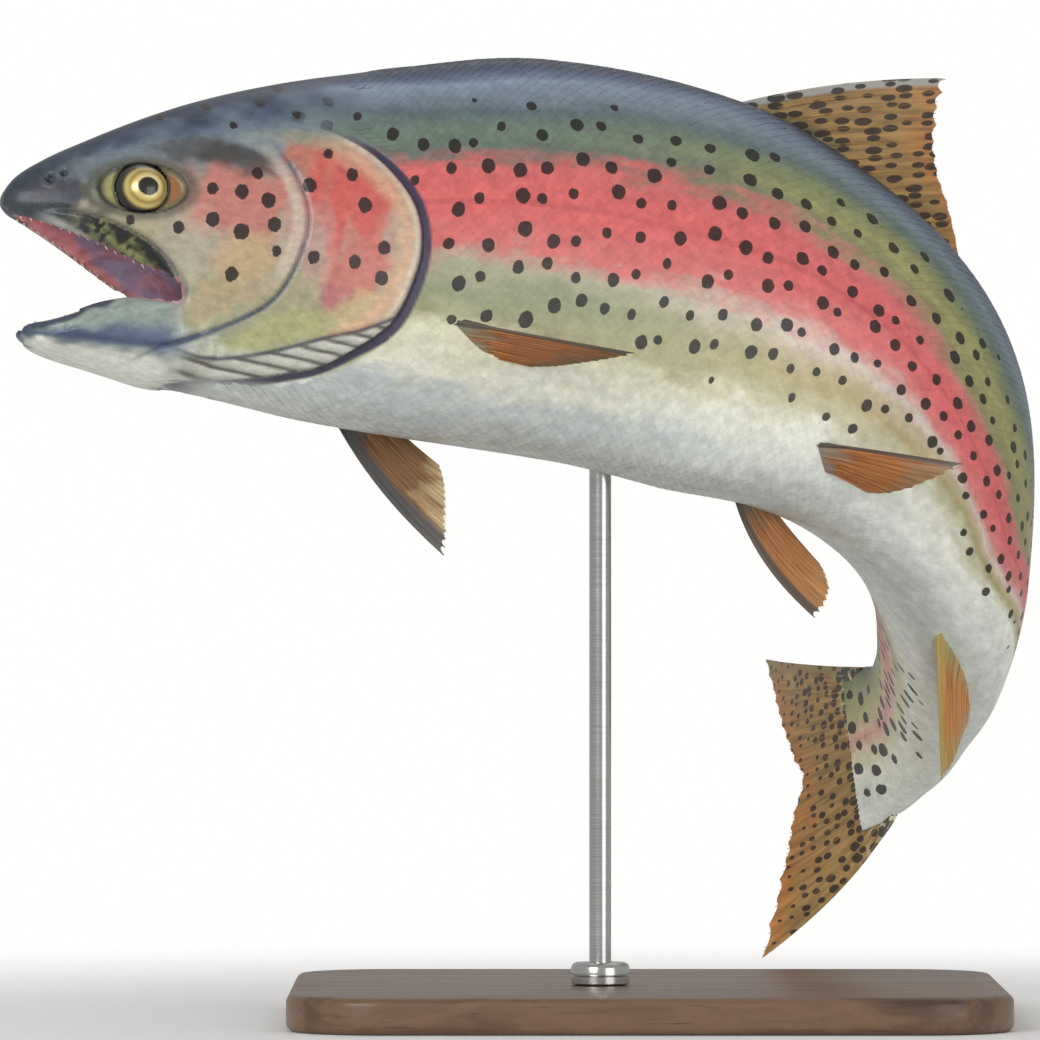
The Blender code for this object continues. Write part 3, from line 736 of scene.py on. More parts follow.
def curve_through(knots, pieces=8):
    """Points along a smooth curve through the knots."""
    k = np.array(knots, float)
    ends = np.concatenate([[2 * k[0] - k[1]], k, [2 * k[-1] - k[-2]]])
    t = np.linspace(0, 1, pieces, endpoint=False)[:, None]
    spans = []
    for a, b, c, d in zip(ends, ends[1:], ends[2:], ends[3:]):
        bend, twist = 2 * a - 5 * b + 4 * c - d, 3 * b - a - 3 * c + d
        spans.append(b + t * (c - a) / 2 + t**2 * bend / 2 + t**3 * twist / 2)
    return np.concatenate([*spans, k[-1:]])


def from_line(name, x, z):
    """The signed distance from a line, positive on its left as it is drawn, and the share along it."""
    line = curve_through(LINES[name])
    steps = np.diff(line, axis=0)
    run = np.concatenate([[0], np.cumsum(np.hypot(*steps.T))])
    best, sign, share = np.full(len(x), 1e9), np.ones(len(x)), np.zeros(len(x))
    for (px, pz), (dx, dz), start in zip(line, steps, run):
        length = math.hypot(dx, dz)
        t = np.clip(((x - px) * dx + (z - pz) * dz) / length**2, 0, 1)
        away = np.hypot(x - px - t * dx, z - pz - t * dz)
        near = away < best
        best[near] = away[near]
        sign[near] = np.sign(dx * (z - pz) - dz * (x - px))[near]
        share[near] = ((start + t * length) / run[-1])[near]
    return best * sign, share


def oval(x, z, centre_x, centre_z, half_long, half_tall, tilt=0.0):
    """1 on an oval's edge in the side view, less inside it."""
    c, s = math.cos(math.radians(tilt)), math.sin(math.radians(tilt))
    u, w = (x - centre_x) * c + (z - centre_z) * s, (z - centre_z) * c - (x - centre_x) * s
    return np.hypot(u / half_long, w / half_tall)


def in_mouth(points):
    """1 on the lining of the mouth, fading to 0 on the lips."""
    x, y, z = points.T
    roof, floor = mouth_roof(x), mouth_floor(x)
    up = np.abs(z - (roof + floor) / 2) / ((roof - floor) / 2)
    share = ((np.abs(y) / mouth_width(x)) ** MOUTH_ROUNDNESS + up**MOUTH_ROUNDNESS) ** (1 / MOUTH_ROUNDNESS)
    depth = (1 - shell_share(points)) * np.hypot(y, z)
    off_skin = np.maximum(1 - smooth(1.015, 1.05, share), smooth(0.15, 0.6, np.abs(depth)))
    deep = smooth(1.8, 2.8, depth) * smooth(-5, -8, z)
    lining = np.maximum((1 - smooth(1.02, 1.12, share)) * off_skin, deep)
    return lining * smooth(-2.0, 1.5, x) * (1 - smooth(63, 65, x))


EYE_OPENING = (34.4, 3.5, 11.6, 7.0, 4.0)  # centre, half length, half height and tilt of the soft rim
CREASES = (  # line, push in mm, its middle and width beside the line, and where along the line it comes up
    ("cheek", -0.75, 0.5, 1.1, 0.02, 0.25), ("cheek", 0.35, -2.0, 2.6, 0.02, 0.2),
    ("crease", -0.22, 0, 2.2, -2, -1), ("second_plate", -0.35, 0, 0.9, -2, -1),
    ("jaw_bone", -0.35, 0, 1.3, 0, 0.2), ("brow", 0.3, 0, 2.5, -2, -1),
)


def leaf_share(x, z):
    """The place across one of the overlapping bones under the gill cover, from 0 to 1."""
    return np.mod((z + 0.1 * (x - 60)) / 3.0, 1.0)


def head_relief(points):
    """How far each point of the head is pushed out, in millimetres."""
    x, _, z = points.T
    push = np.zeros(len(x))
    away, along = from_line("gill", x, z)
    opens = smooth(0.0, 0.12, along) * (1 - 0.45 * smooth(0.62, 1.0, along))
    push += opens * np.where(away < 0, 0.75 * smooth(0, 1.0, -away) * (1 - smooth(4, 26, -away)), 0)
    push -= opens * np.where(away > 0, 1.25 * smooth(0, 0.7, away) * (1 - smooth(1.6, 9, away)), 0)
    inside_gill = smooth(0.4, 1.0, -away)
    away, _ = from_line("under_cover", x, z)
    below = smooth(0.0, 0.5, away) * inside_gill * smooth(44, 54, x) * (1 - smooth(40, 50, np.abs(z)))
    push += below * (0.34 * np.sqrt(np.clip(1 - (2 * leaf_share(x, z) - 1) ** 2, 0, 1)) - 0.55)
    push += 0.4 * hump(-1.6, 2.4, away) * inside_gill * smooth(46, 58, x)
    for name, height, middle, width, *comes_up in CREASES:
        away, along = from_line(name, x, z)
        push += height * hump(middle, width, away) * smooth(*comes_up, along)
    away, _ = from_line("upper_jaw", x, z)
    plate = np.where(away > 0, 0, smooth(0, 0.9, -away)) * (z > -31) * (1 - smooth(42, 47.5, x))
    push += 0.6 * plate * smooth(4, 12, x) - 0.5 * hump(0.7, 1.1, away) * smooth(8, 16, x)
    below_rim = jaw_rim(x) - z
    on_jaw = (x > 6) * (1 - smooth(44, 50, x)) * smooth(-19, -21, z)
    push += on_jaw * (0.3 * hump(1.6, 1.8, below_rim) - 0.45 * hump(4.2, 1.2, below_rim))
    rim = oval(x, z, *EYE_OPENING)
    push += 0.35 * hump(1.06, 0.13, rim) - 0.9 * (1 - smooth(0.86, 1.0, rim))
    for place_x, place_z, size, depth in NOSTRILS:
        away = np.hypot(x - place_x, z - place_z) / size
        push += 0.22 * hump(1.6, 0.6, away) - depth * (1 - smooth(0.55, 1.35, away))
    for place_x, place_z in PORES:
        push -= 0.4 * (1 - smooth(0.2, 1.0, np.hypot(x - place_x, z - place_z)))
    return push * (1 - smooth(0.0, 0.5, in_mouth(points)))


NOSTRILS = ((10.6, 4.9, 1.25, 1.5), (14.0, 6.6, 1.0, 1.2))  # x, z, radius, depth
PORES = ((17, -36.5), (24, -36.2), (31, -35.4), (38, -34), (55, -24.5), (63, -20), (68, -12), (66, -2),
         (57, -11))  # x, z


def wander(points, size, seed):
    """A smooth random value, mostly from -1 to 1, that changes over distances of about size."""
    draw = np.random.default_rng(seed)
    total = np.zeros(len(points))
    for _ in range(8):
        way = draw.normal(size=3)
        way *= draw.uniform(0.6, 1.7) * 2 * math.pi / size / np.linalg.norm(way)
        total += np.sin(points @ way + draw.uniform(0, 2 * math.pi))
    return total / 2.8


def press_head():
    """Pushes the head's points in and out, and gives the mouth's lining soft folds."""
    points = points_of(skin_mesh)
    near = points[:, 0] < HEAD_ENDS
    folds = np.abs(wander(points[near] * (0.5, 1.6, 1.0), 5.0, 3))
    push = np.zeros(len(points))
    push[near] = head_relief(points[near]) - in_mouth(points[near]) * 0.35 * folds
    move_points(skin_mesh, points + read(skin_mesh.vertices, "normal") * push[:, None])
    print("relief from", round(push.min(), 2), "to", round(push.max(), 2), "mm")


press_head()

# %% [markdown]
# The trunk is smooth and gets its form from the scales, so it needs few triangles, while the head keeps
# all of its own. A Decimate modifier with a vertex group thins only the trunk.

# %% Thin the trunk
def thin_trunk(mesh):
    """The skin with fewer triangles behind the head."""
    obj = place_mesh("skin", mesh)
    group = obj.vertex_groups.new(name="trunk")
    group.add(np.flatnonzero(points_of(mesh)[:, 0] > HEAD_ENDS).tolist(), 1.0, "REPLACE")
    triangles = sum(len(face.vertices) - 2 for face in mesh.polygons)
    add_modifier(obj, "DECIMATE", ratio=SKIN_TRIANGLES / triangles, vertex_group=group.name)
    obj.data = evaluated_mesh(obj)
    obj.vertex_groups.clear()
    bpy.data.meshes.remove(mesh)
    return obj


skin = thin_trunk(skin_mesh)
print("skin:", len(skin.data.polygons), "faces")

# %% [markdown]
# ## Where the markings lie
#
# Skin and scales must carry the same markings, or the pattern would break wherever a scale ends. So the
# pattern is not painted on either one. Each point of both stores where it lies on the fish: its `level`
# from the belly (0) to the back (5), where the whole numbers are the edges of the colour zones, and its
# `place` on an unrolled skin measured in spot spacings. One node group turns those into colours for both.

# %% Zones and the unrolled skin
ZONES_LEFT = (  # x, then the heights where white, olive, the red stripe and green end
    (60, -30, -9, 20, 31), (108, -26, -7.5, 21.5, 34), (135, -28.5, -7.5, 23.5, 36),
    (160, -32, -10, 22.4, 37), (188, -35.5, -14, 20.6, 36), (215, -35, -13.5, 18.5, 34),
    (245, -31, -14, 12.2, 29), (268, -26.5, -14, 4.5, 22), (288, -25, -18, -2, 16),
    (308, -26, -21.5, -8, 12), (332, -21, -16, -3, 11), (360, -17, -9, 4, 13), (400, -14, -6, 6.5, 13),
    (440, -14, -6, 7, 14),
)
ZONES_RIGHT = (
    (60, -30, -9, 20, 31), (108, -26, -7.5, 21.5, 34), (160, -32, -10, 22.4, 37), (215, -33, -12, 19, 34),
    (268, -25, -9, 15, 28), (332, -15, -7, 6, 17), (400, -7, -1, 5.5, 14), (440, -7, -1, 5, 17),
)
SPOT_SPACING = ((60, 9.0), (150, 8.9), (215, 8.2), (270, 7.0), (330, 5.9), (440, 5.4))  # x, spacing in mm
UNROLL_STEPS, UNROLL_SIDES = 230, 121

UNROLL_X = np.linspace(0, SKIN_ENDS, UNROLL_STEPS)
spot_spacing = column_profiles(SPOT_SPACING)[0]


def spots_to(longer):
    """How many spots lie between the snout and each step along x, if each is some times longer."""
    return np.concatenate([[0], np.cumsum(np.diff(UNROLL_X) / spot_spacing(UNROLL_X[1:]) / longer)])


SPOTS_LEFT = spots_to(1.0)
SPOTS_RIGHT = spots_to(1 + 1.4 * smooth(380, 412, UNROLL_X[1:]))  # longer near the tail


def section_point(x, angle, side=1.0, depth=COAT_DEPTH):
    """A point some depth under the plain body at x, an angle from the back and a side."""
    c, s = np.cos(angle), np.sin(angle)
    exponent = 2 / np.where(c >= 0, BACK_ROUNDNESS, BELLY_ROUNDNESS)
    tall = np.where(c >= 0, back_height(x), belly_depth(x)) - depth
    y = side * (half_width(x) - depth) * power(s, exponent)
    return np.stack(np.broadcast_arrays(x, y, tall * power(c, exponent)), axis=-1)


def unrolled_table():
    """The length of skin from the back's midline to each angle, at each place along x."""
    ring = section_point(UNROLL_X[:, None], np.linspace(0, math.pi, UNROLL_SIDES), depth=0.0)
    steps = np.hypot(np.diff(ring[..., 1], axis=1), np.diff(ring[..., 2], axis=1))
    return np.concatenate([np.zeros((UNROLL_STEPS, 1)), np.cumsum(steps, axis=1)], axis=1)


UNROLLED = unrolled_table()


def between(table, u, v):
    """What a table says between its entries, at shares u and v of its rows and columns."""
    rows, columns, *more = table.shape
    a, b = np.clip(u, 0, 1) * (rows - 1), np.clip(v, 0, 1) * (columns - 1)
    i, j = np.minimum(a.astype(int), rows - 2), np.minimum(b.astype(int), columns - 2)
    spread = (..., *[None] * len(more))
    a, b = (a - i)[spread], (b - j)[spread]
    near = table[i, j] * (1 - b) + table[i, j + 1] * b
    far = table[i + 1, j] * (1 - b) + table[i + 1, j + 1] * b
    return near * (1 - a) + far * a


def skin_length(x, angle):
    """The length of skin from the back's midline round to an angle, in mm."""
    return between(UNROLLED, x / SKIN_ENDS, angle / math.pi)


def angle_on_section(points):
    """Each point's angle from the back, as the section's formula counts it."""
    x, y, z = points.T
    tall = np.where(z >= 0, back_height(x), belly_depth(x))
    exponent = np.where(z >= 0, BACK_ROUNDNESS, BELLY_ROUNDNESS) / 2
    return np.arctan2((np.abs(y) / half_width(x)) ** exponent, np.sign(z) * (np.abs(z) / tall) ** exponent)


def level_of(points):
    """Each point's level: 0 under the belly, 5 on the back, whole numbers at the zones' edges."""
    x, y, z = points.T
    level = np.zeros(len(x))
    for rows, here in ((ZONES_LEFT, y <= 0), (ZONES_RIGHT, y > 0)):
        heights = [-belly_depth(x), *(edge(x) for edge in column_profiles(rows)), back_height(x)]
        for low, high in zip(heights, heights[1:]):
            level += here * np.clip((z - low) / (high - low), 0, 1)
    return level


def store_markings(mesh, points):
    """Stores where each point lies, for the marking group to read."""
    x, y, _ = points.T
    left = y <= 0
    around = skin_length(x, angle_on_section(points)) * np.where(left, -1, 1)
    along = np.where(left, np.interp(x, UNROLL_X, SPOTS_LEFT), np.interp(x, UNROLL_X, SPOTS_RIGHT))
    coarser = np.where(left, 1, 1 + 0.25 * smooth(330, 380, x))
    store(mesh, "level", level_of(points))
    store(mesh, "spot_place", np.stack([along, around / spot_spacing(x) / coarser, 0 * x], axis=1))
    store(mesh, "straight", points)


store_markings(skin.data, points_of(skin.data))
print("skin round the deepest part:", round(2 * float(skin_length(180.0, math.pi))), "mm")

# %% [markdown]
# ## Painting the head
#
# The head's colours are not zones but soft patches: a slate snout, a brown smudge behind the eye, a red
# bloom on the gill cover with a peach margin, olive jaw plates. A fish painter lays these on with an
# airbrush, each patch over the last, and then brushes dark painted shade into the creases. The next cells
# do the same: a list of soft ovals, then lines that follow the relief's own lines, with painted shade in
# its grooves, and last the round black spots.

# %% The head's ground colours and soft patches
HEAD_GROUND = (  # height as a share of the back's height or the belly's depth, and a colour
    (-1.0, (0.74, 0.78, 0.7)), (-0.86, (0.84, 0.86, 0.76)), (-0.7, (0.46, 0.47, 0.31)),
    (-0.45, (0.43, 0.39, 0.25)), (-0.15, (0.5, 0.42, 0.33)), (0.22, (0.5, 0.32, 0.26)),
    (0.42, (0.22, 0.235, 0.25)), (0.6, (0.2, 0.25, 0.3)), (0.74, (0.1, 0.14, 0.2)),
    (0.86, (0.035, 0.05, 0.09)), (1.0, (0.022, 0.032, 0.06)),
)
PATCHES = (  # x, z, half length, half height, tilt, strength, colour
    (9, 2, 21, 12, 14, 0.95, (0.042, 0.055, 0.078)), (17, 8, 11, 3.0, 26, 0.55, (0.17, 0.2, 0.22)),
    (25, 3, 8, 8, 10, 0.8, (0.115, 0.12, 0.085)), (27, 11, 15, 4, 24, 0.7, (0.2, 0.24, 0.27)),
    (60, 2, 17, 12, -4, 0.85, (0.6, 0.21, 0.18)), (46, -14, 12, 9, -10, 0.6, (0.47, 0.42, 0.35)),
    (62, -14, 10, 7, 20, 0.6, (0.62, 0.42, 0.2)), (48, -27, 19, 6.5, 16, 0.55, (0.53, 0.4, 0.23)),
    (48, 15.6, 12, 4.4, 2, 0.75, (0.085, 0.08, 0.075)),
    (59, 14.0, 12, 4.8, -14, 0.85, (0.075, 0.07, 0.066)), (66, 19, 10, 3.2, -8, 0.5, (0.34, 0.38, 0.38)),
    (79, 16, 9, 6, -10, 0.8, (0.63, 0.2, 0.13)), (90, 6, 14, 15, -8, 0.95, (0.68, 0.13, 0.11)),
    (80, -6, 6.5, 12, 0, 0.55, (0.56, 0.3, 0.27)), (92, -14, 9, 13, -12, 0.8, (0.64, 0.17, 0.15)),
    (88, -23, 6, 6, 10, 0.6, (0.46, 0.16, 0.2)), (74, -31, 22, 5.0, 14, 0.75, (0.48, 0.47, 0.2)),
    (94, -24, 8, 5, 30, 0.6, (0.62, 0.52, 0.25)), (80, 21, 14, 3.0, -4, 0.55, (0.36, 0.37, 0.24)),
)


def head_ground(points):
    """The ground colour at each point of the head."""
    x, _, z = points.T
    share = z / np.where(z >= 0, back_height(x), belly_depth(x))
    share = share + 0.05 * wander(points, 22, 11) + 0.025 * wander(points, 8, 12)
    places, colours = zip(*HEAD_GROUND)
    return np.stack([np.interp(share, places, channel) for channel in zip(*colours)], axis=1)


def lay(paint, mask, colour):
    """Brushes one colour over the paint where the mask says."""
    paint += np.clip(mask, 0, 1)[:, None] * (np.array(colour) - paint)


def lay_patches(paint, points):
    """The soft ovals, with uneven edges."""
    x, _, z = points.T
    for k, (*place, strength, colour) in enumerate(PATCHES):
        edge = oval(x, z, *place) + 0.16 * wander(points, 9, 40 + k) + 0.07 * wander(points, 3.5, 70 + k)
        lay(paint, strength * (1 - smooth(0.55, 1.15, edge)), colour)


print("patches:", len(PATCHES))

# %% Brushed lines, plates, jaws and the eye's rim
CREASE_SHADE_NAVY, MEMBRANE_AND_SHADOW_BLACK, CREAM = (0.045, 0.055, 0.10), (0.05, 0.04, 0.085), (0.74, 0.66, 0.54)
RIM_LINE_AND_GAP_SHADE = (0.03, 0.03, 0.025)


def brush_gill_cover(paint, x, z, points):
    """The gill cover's peach margin, and behind it a dark strip that is partly dark skin and partly painted
    shadow under the cover's edge.
    """
    away, along = from_line("gill", x, z)
    ragged = 0.5 * wander(points, 7, 21)
    rear = smooth(0.03, 0.16, along) * (1 - smooth(0.66, 0.74, along))
    lay(paint, 0.85 * rear * hump(-4.2, 5.0, away + ragged), (0.74, 0.46, 0.30))
    lay(paint, 0.75 * rear * hump(-1.3, 1.7, away), CREAM)
    # a dark strip just behind the cover's free edge: partly dark skin, partly painted shadow under the edge
    wide = 0.9 + 1.5 * hump(0.42, 0.3, along)
    edge = 1 - smooth(wide - 0.3, wide + 0.5, np.abs(away - wide))
    lay(paint, 0.96 * smooth(0.06, 0.2, along) * edge, MEMBRANE_AND_SHADOW_BLACK)
    return away


def brush_under_cover(paint, x, z, gill_away):
    """The pale leaf-like bones under the cover, with painted shade as dark lines between them and along
    their edge.
    """
    away, _ = from_line("under_cover", x, z)
    strip = smooth(0.2, 0.9, away) * (gill_away < 0) * smooth(42, 52, x)
    leaf = leaf_share(x, z)
    lay(paint, strip, (0.66, 0.66, 0.58))
    lay(paint, strip * 0.55 * (1 - smooth(0.1, 0.6, leaf)), (0.34, 0.36, 0.28))
    # painted shade in the crevices between the bones
    lay(paint, strip * 0.85 * (1 - smooth(0.08, 0.2, np.minimum(leaf, 1 - leaf))), (0.09, 0.09, 0.08))
    # painted shade along the step of the under-cover line
    lay(paint, 0.85 * hump(0.2, 0.9, away) * smooth(40, 52, x) * (gill_away < 0), CREASE_SHADE_NAVY)


def brush_cheek(paint, x, z):
    """The cheek bone's pale inner edge and the painted shade of its crease, darker below."""
    away, along = from_line("cheek", x, z)
    upper = smooth(0.05, 0.2, along) * (1 - smooth(0.5, 0.62, along))
    lay(paint, 0.8 * hump(-2.4, 2.6, away) * upper, (0.66, 0.56, 0.46))
    lower = 0.5 + 0.46 * smooth(0.3, 0.6, along)
    # painted shade: a dark line in the crease's groove, stronger further down
    lay(paint, lower * hump(0.6, 1.2, away) * smooth(0.02, 0.2, along), CREASE_SHADE_NAVY)
    lay(paint, 0.35 * smooth(0.55, 0.75, along) * hump(2.0, 3.5, away), (0.20, 0.24, 0.34))


def brush_upper_jaw(paint, x, z, points):
    """Olive plates with black flecks, a dark front and a pale lip."""
    away, along = from_line("upper_jaw", x, z)
    plate = smooth(-0.2, 0.6, -away) * (z > -31) * (1 - smooth(45.5, 47.5, x)) * smooth(2, 9, x)
    lip = z + belly_depth(x)
    across = lip / np.maximum(lip - away, 0.5) + 0.22 * wander(points, 5, 31)
    dark = np.max([smooth(0.50, 0.78, across), smooth(0.66, 0.86, along + 0.12 * wander(points, 4, 32)),
                   smooth(0.35, 0.6, wander(points, 3.2, 34))], axis=0)[:, None]
    olive = np.array((0.24, 0.245, 0.10)) * (1 - dark) + np.array((0.022, 0.024, 0.02)) * dark
    lay(paint, plate * smooth(8, 22, x), olive)
    lay(paint, plate * (1 - smooth(8, 24, x)) * 0.9, (0.055, 0.068, 0.09))
    lay(paint, plate * 0.85 * (1 - smooth(1.2, 2.4, lip)) * smooth(6, 14, x), (0.50, 0.53, 0.47))
    lay(paint, plate * 0.6 * hump(3.4, 1.4, lip) * smooth(10, 20, x), (0.05, 0.06, 0.07))
    # painted shade: dark lines in the groove along the plate's edge and in the second plate's groove
    lay(paint, 0.85 * hump(0.5, 1.0, away) * smooth(8, 16, x), (0.05, 0.055, 0.05))
    lay(paint, 0.7 * hump(0, 0.9, from_line("second_plate", x, z)[0]), (0.04, 0.045, 0.03))


def brush_lower_jaw(paint, x, z, points):
    """A grey-green jaw with a blue edge, a blue band and a white underside."""
    on_jaw = (1 - smooth(42, 52, x)) * smooth(-20.5, -22.5, z) * (x > 5)
    below = jaw_rim(x) - z + 0.6 * wander(points, 6, 33)
    depth = below / (jaw_rim(x) - jaw_underside(x))
    lay(paint, on_jaw * (1 - smooth(0.86, 1.0, depth)), (0.33, 0.39, 0.35))
    lay(paint, on_jaw * 0.9 * (1 - smooth(1.6, 3.4, below)), (0.045, 0.06, 0.11))
    lay(paint, on_jaw * 0.9 * hump(0.64, 0.26, depth), (0.10, 0.135, 0.24))
    lay(paint, on_jaw * 0.9 * smooth(0.74, 0.92, depth), (0.92, 0.93, 0.84))
    lay(paint, on_jaw * 0.85 * (1 - smooth(7, 12, x + 0.2 * below)), (0.07, 0.095, 0.16))
    # painted shade: a dark line in the groove along the jaw bone
    away, along = from_line("jaw_bone", x, z)
    lay(paint, 0.8 * hump(0, 1.5, away) * smooth(0, 0.1, along), (0.07, 0.09, 0.17))


def brush_eye(paint, x, y, z):
    """The soft rim of the eye: dark lines, a yellow-green corner in front, an orange-brown one behind, and
    black painted shade where the skin meets the eyeball.
    """
    rim = oval(x, z, *EYE_OPENING)
    inside = 1 - smooth(0.8, 0.94, rim)
    lay(paint, 0.75 * hump(1.12, 0.3, rim), (0.11, 0.115, 0.08))
    lay(paint, 1 - smooth(0.9, 1.02, rim), (0.22, 0.21, 0.10))
    lay(paint, inside * smooth(30, 26, x), (0.40, 0.38, 0.16))
    lay(paint, inside * smooth(40, 42.5, x), (0.36, 0.15, 0.055))
    centre_x, centre_y, centre_z = EYE_CENTRE
    ball = np.hypot(x - centre_x, z - centre_z)
    gap = np.hypot(ball, np.abs(y) - centre_y) - EYE_RADIUS
    # a dark line on the rim, and black painted shade on the ring and in the gap where the skin meets the
    # ball
    for mask in (hump(1.0, 0.09, rim), hump(5.9, 0.9, ball), 1 - smooth(0.7, 1.5, gap)):
        lay(paint, 0.9 * mask, RIM_LINE_AND_GAP_SHADE)


print("brushes ready")

# %% The head's spots, and all the head's paint in order
HEAD_SPOTS = (  # x, z, radius; the last ones are on the crown
    (52.2, 4.7, 1.5), (59.8, 4.5, 1.8), (67.0, 2.7, 1.9), (63.8, 10.0, 1.5), (52.7, -3.8, 1.8),
    (44.1, -6.7, 1.5), (60.4, -6.5, 2.0), (69.0, -3.8, 1.8), (70.1, -11.0, 1.3), (58.9, -18.2, 1.7),
    (31.5, -5.6, 1.2), (77.8, 8.0, 1.8), (89.2, 12.2, 1.6), (82.6, 17.5, 1.3), (93.1, 4.2, 1.9),
    (80.1, -11.7, 1.6), (91.4, -11.7, 1.7), (99.1, -6.9, 1.7), (98.9, -15.1, 1.8), (40, 26, 1.0),
    (52, 30, 1.2), (58, 24, 1.0), (66, 32, 1.3), (75, 29, 1.2), (84, 34, 1.5), (72, 38, 1.3),
)
LINING_SHALLOW, LINING_DEEP = (0.95, 0.40, 0.39), (0.46, 0.46, 0.68)


def paint_head(points):
    """All the head's paint, layer over layer."""
    x, y, z = points.T
    paint = head_ground(points)
    lay_patches(paint, points)
    brush_under_cover(paint, x, z, brush_gill_cover(paint, x, z, points))
    brush_cheek(paint, x, z)
    brush_upper_jaw(paint, x, z, points)
    brush_lower_jaw(paint, x, z, points)
    brush_eye(paint, x, y, z)
    for place_x, place_z, size, _ in NOSTRILS:
        # painted shade: the nostril pits are painted near-black
        nostril_shade = 1 - smooth(0.5, 1.2, np.hypot(x - place_x, z - place_z) / size)
        lay(paint, 0.9 * nostril_shade, (0.02, 0.022, 0.025))
    height = smooth(5.0, 8.5, z + belly_depth(x) + 1.3 * wander(points, 9, 61))
    right = height * (0.85 - 0.4 * smooth(-0.3, 1.0, wander(points, 11, 63)))
    tone = np.where(y > 0, right, 0.35 + 0.3 * wander(points, 9, 62)).clip(0, 1)[:, None]
    inner = np.array(LINING_SHALLOW) * (1 - tone) + np.array(LINING_DEEP) * tone
    # painted shade: the lining darkens towards the throat
    inner = inner * (1 - 0.6 * smooth(42, 60, x))[:, None]
    lay(paint, in_mouth(points) * np.maximum(smooth(-20, -17, z), smooth(12.5, 14, x)), inner)
    return paint


def spot_gap(points):
    """How far each point is from the edge of the nearest head spot, in mm: below 0 inside one."""
    x, _, z = points.T
    gaps = [np.hypot(x - spot_x, (z - spot_z) * 0.88) - radius for spot_x, spot_z, radius in HEAD_SPOTS]
    return np.min(gaps, axis=0).clip(-3, 9)


def head_mask(points):
    """1 on the scaleless head, 0 on the scaled body, with a soft edge over the nape."""
    mask = np.zeros(len(points))
    near = points[:, 0] < HEAD_ENDS
    x, _, z = points[near].T
    side = 1 - smooth(2.6, 3.6, from_line("gill", x, z)[0])
    nape = 1 - smooth(68, 96, x + 4 * wander(points[near], 14, 5))
    high, low = smooth(20, 27, z), smooth(-43, -46, z)
    mask[near] = (side * (1 - high) + nape * high) * (1 - low) + (1 - smooth(46, 62, x)) * low
    return mask


def store_head_paint(mesh):
    """Stores the head's paint, mask and spots on the skin; the mouth's lining keeps free of spots."""
    points = points_of(mesh)
    near = points[:, 0] < HEAD_ENDS
    colours, lining = np.ones((len(points), 4)), np.zeros(len(points))
    colours[near, :3] = paint_head(points[near])
    lining[near] = in_mouth(points[near])
    store(mesh, "head_paint", colours)
    store(mesh, "head", head_mask(points))
    store(mesh, "spot_gap", spot_gap(points) + 9 * lining)
    return near.sum()


print("head points painted:", store_head_paint(skin.data))

# %% Bend the skin to the pose
move_points(skin.data, posed(points_of(skin.data)))
skin.data.shade_smooth()
print("skin bent:", [round(v / MM) for v in points_of(skin.data).max(axis=0)])

# %% [markdown]
# ## The marking group
#
# A rainbow trout's flank goes from a white belly through olive to a rose-red stripe, then green and a paler
# steel-blue band, which is a painted highlight along the back, to a navy back, with black spots from the
# stripe upwards. A colour ramp along the level gives the zones; on the right side of the tail stock it gives
# paler colours, which are painted light. Noise stretched along the body pushes their edges about, because
# real zones run into each other like wet paint. The spots are a Voronoi pattern on the unrolled skin: its
# cells are jittered, so the spots keep their distance.

# %% Build the marking group
FRONT_COLOURS = (  # level and colour, behind the head
    (0.0, (0.66, 0.69, 0.64)), (0.3, (0.58, 0.63, 0.62)), (0.6, (0.82, 0.82, 0.68)),
    (0.95, (0.74, 0.72, 0.52)), (1.2, (0.42, 0.42, 0.25)), (1.6, (0.33, 0.37, 0.23)),
    (1.88, (0.44, 0.43, 0.3)), (2.02, (0.6, 0.34, 0.28)), (2.14, (0.72, 0.2, 0.19)),
    (2.5, (0.8, 0.17, 0.165)), (2.86, (0.74, 0.18, 0.175)), (2.98, (0.42, 0.19, 0.17)),
    (3.1, (0.17, 0.21, 0.17)), (3.5, (0.18, 0.25, 0.19)), (3.95, (0.13, 0.18, 0.2)),
    # levels 4.2 and 4.45 make a paler steel-blue band: a painted highlight along the back
    (4.2, (0.21, 0.265, 0.32)), (4.45, (0.25, 0.32, 0.41)), (4.62, (0.1, 0.14, 0.22)),
    (4.74, (0.035, 0.052, 0.1)), (5.0, (0.018, 0.027, 0.06)),
)
REAR_COLOURS = (  # the same, towards the tail
    (0.0, (0.7, 0.74, 0.7)), (0.35, (0.84, 0.89, 0.83)), (0.75, (0.94, 0.95, 0.83)),
    (1.05, (0.64, 0.61, 0.42)), (1.35, (0.5, 0.43, 0.22)), (1.7, (0.62, 0.52, 0.36)),
    (1.9, (0.76, 0.66, 0.58)), (2.04, (0.78, 0.42, 0.38)), (2.16, (0.8, 0.24, 0.235)),
    (2.5, (0.8, 0.17, 0.175)), (2.84, (0.74, 0.19, 0.19)), (2.98, (0.52, 0.27, 0.2)),
    (3.1, (0.32, 0.31, 0.15)), (3.4, (0.4, 0.38, 0.15)), (3.8, (0.25, 0.28, 0.14)),
    # level 4.3 is the same paler band: a painted highlight along the back
    (4.05, (0.14, 0.19, 0.17)), (4.3, (0.19, 0.25, 0.29)), (4.55, (0.08, 0.12, 0.18)),
    (4.75, (0.035, 0.052, 0.1)), (5.0, (0.02, 0.03, 0.06)),
)
LIT_RIGHT_SIDE_COLOURS = (  # the right side of the tail stock, painted paler than the left: painted light
    (0.0, (0.76, 0.8, 0.73)), (0.9, (0.88, 0.89, 0.76)), (1.5, (0.8, 0.78, 0.52)),
    (2.05, (0.78, 0.62, 0.46)), (2.5, (0.8, 0.42, 0.34)), (2.95, (0.76, 0.56, 0.38)),
    (3.3, (0.56, 0.53, 0.27)), (4.0, (0.34, 0.35, 0.18)), (5.0, (0.1, 0.12, 0.09)),
)
SPOT_BLACK = (0.022, 0.018, 0.017, 1)


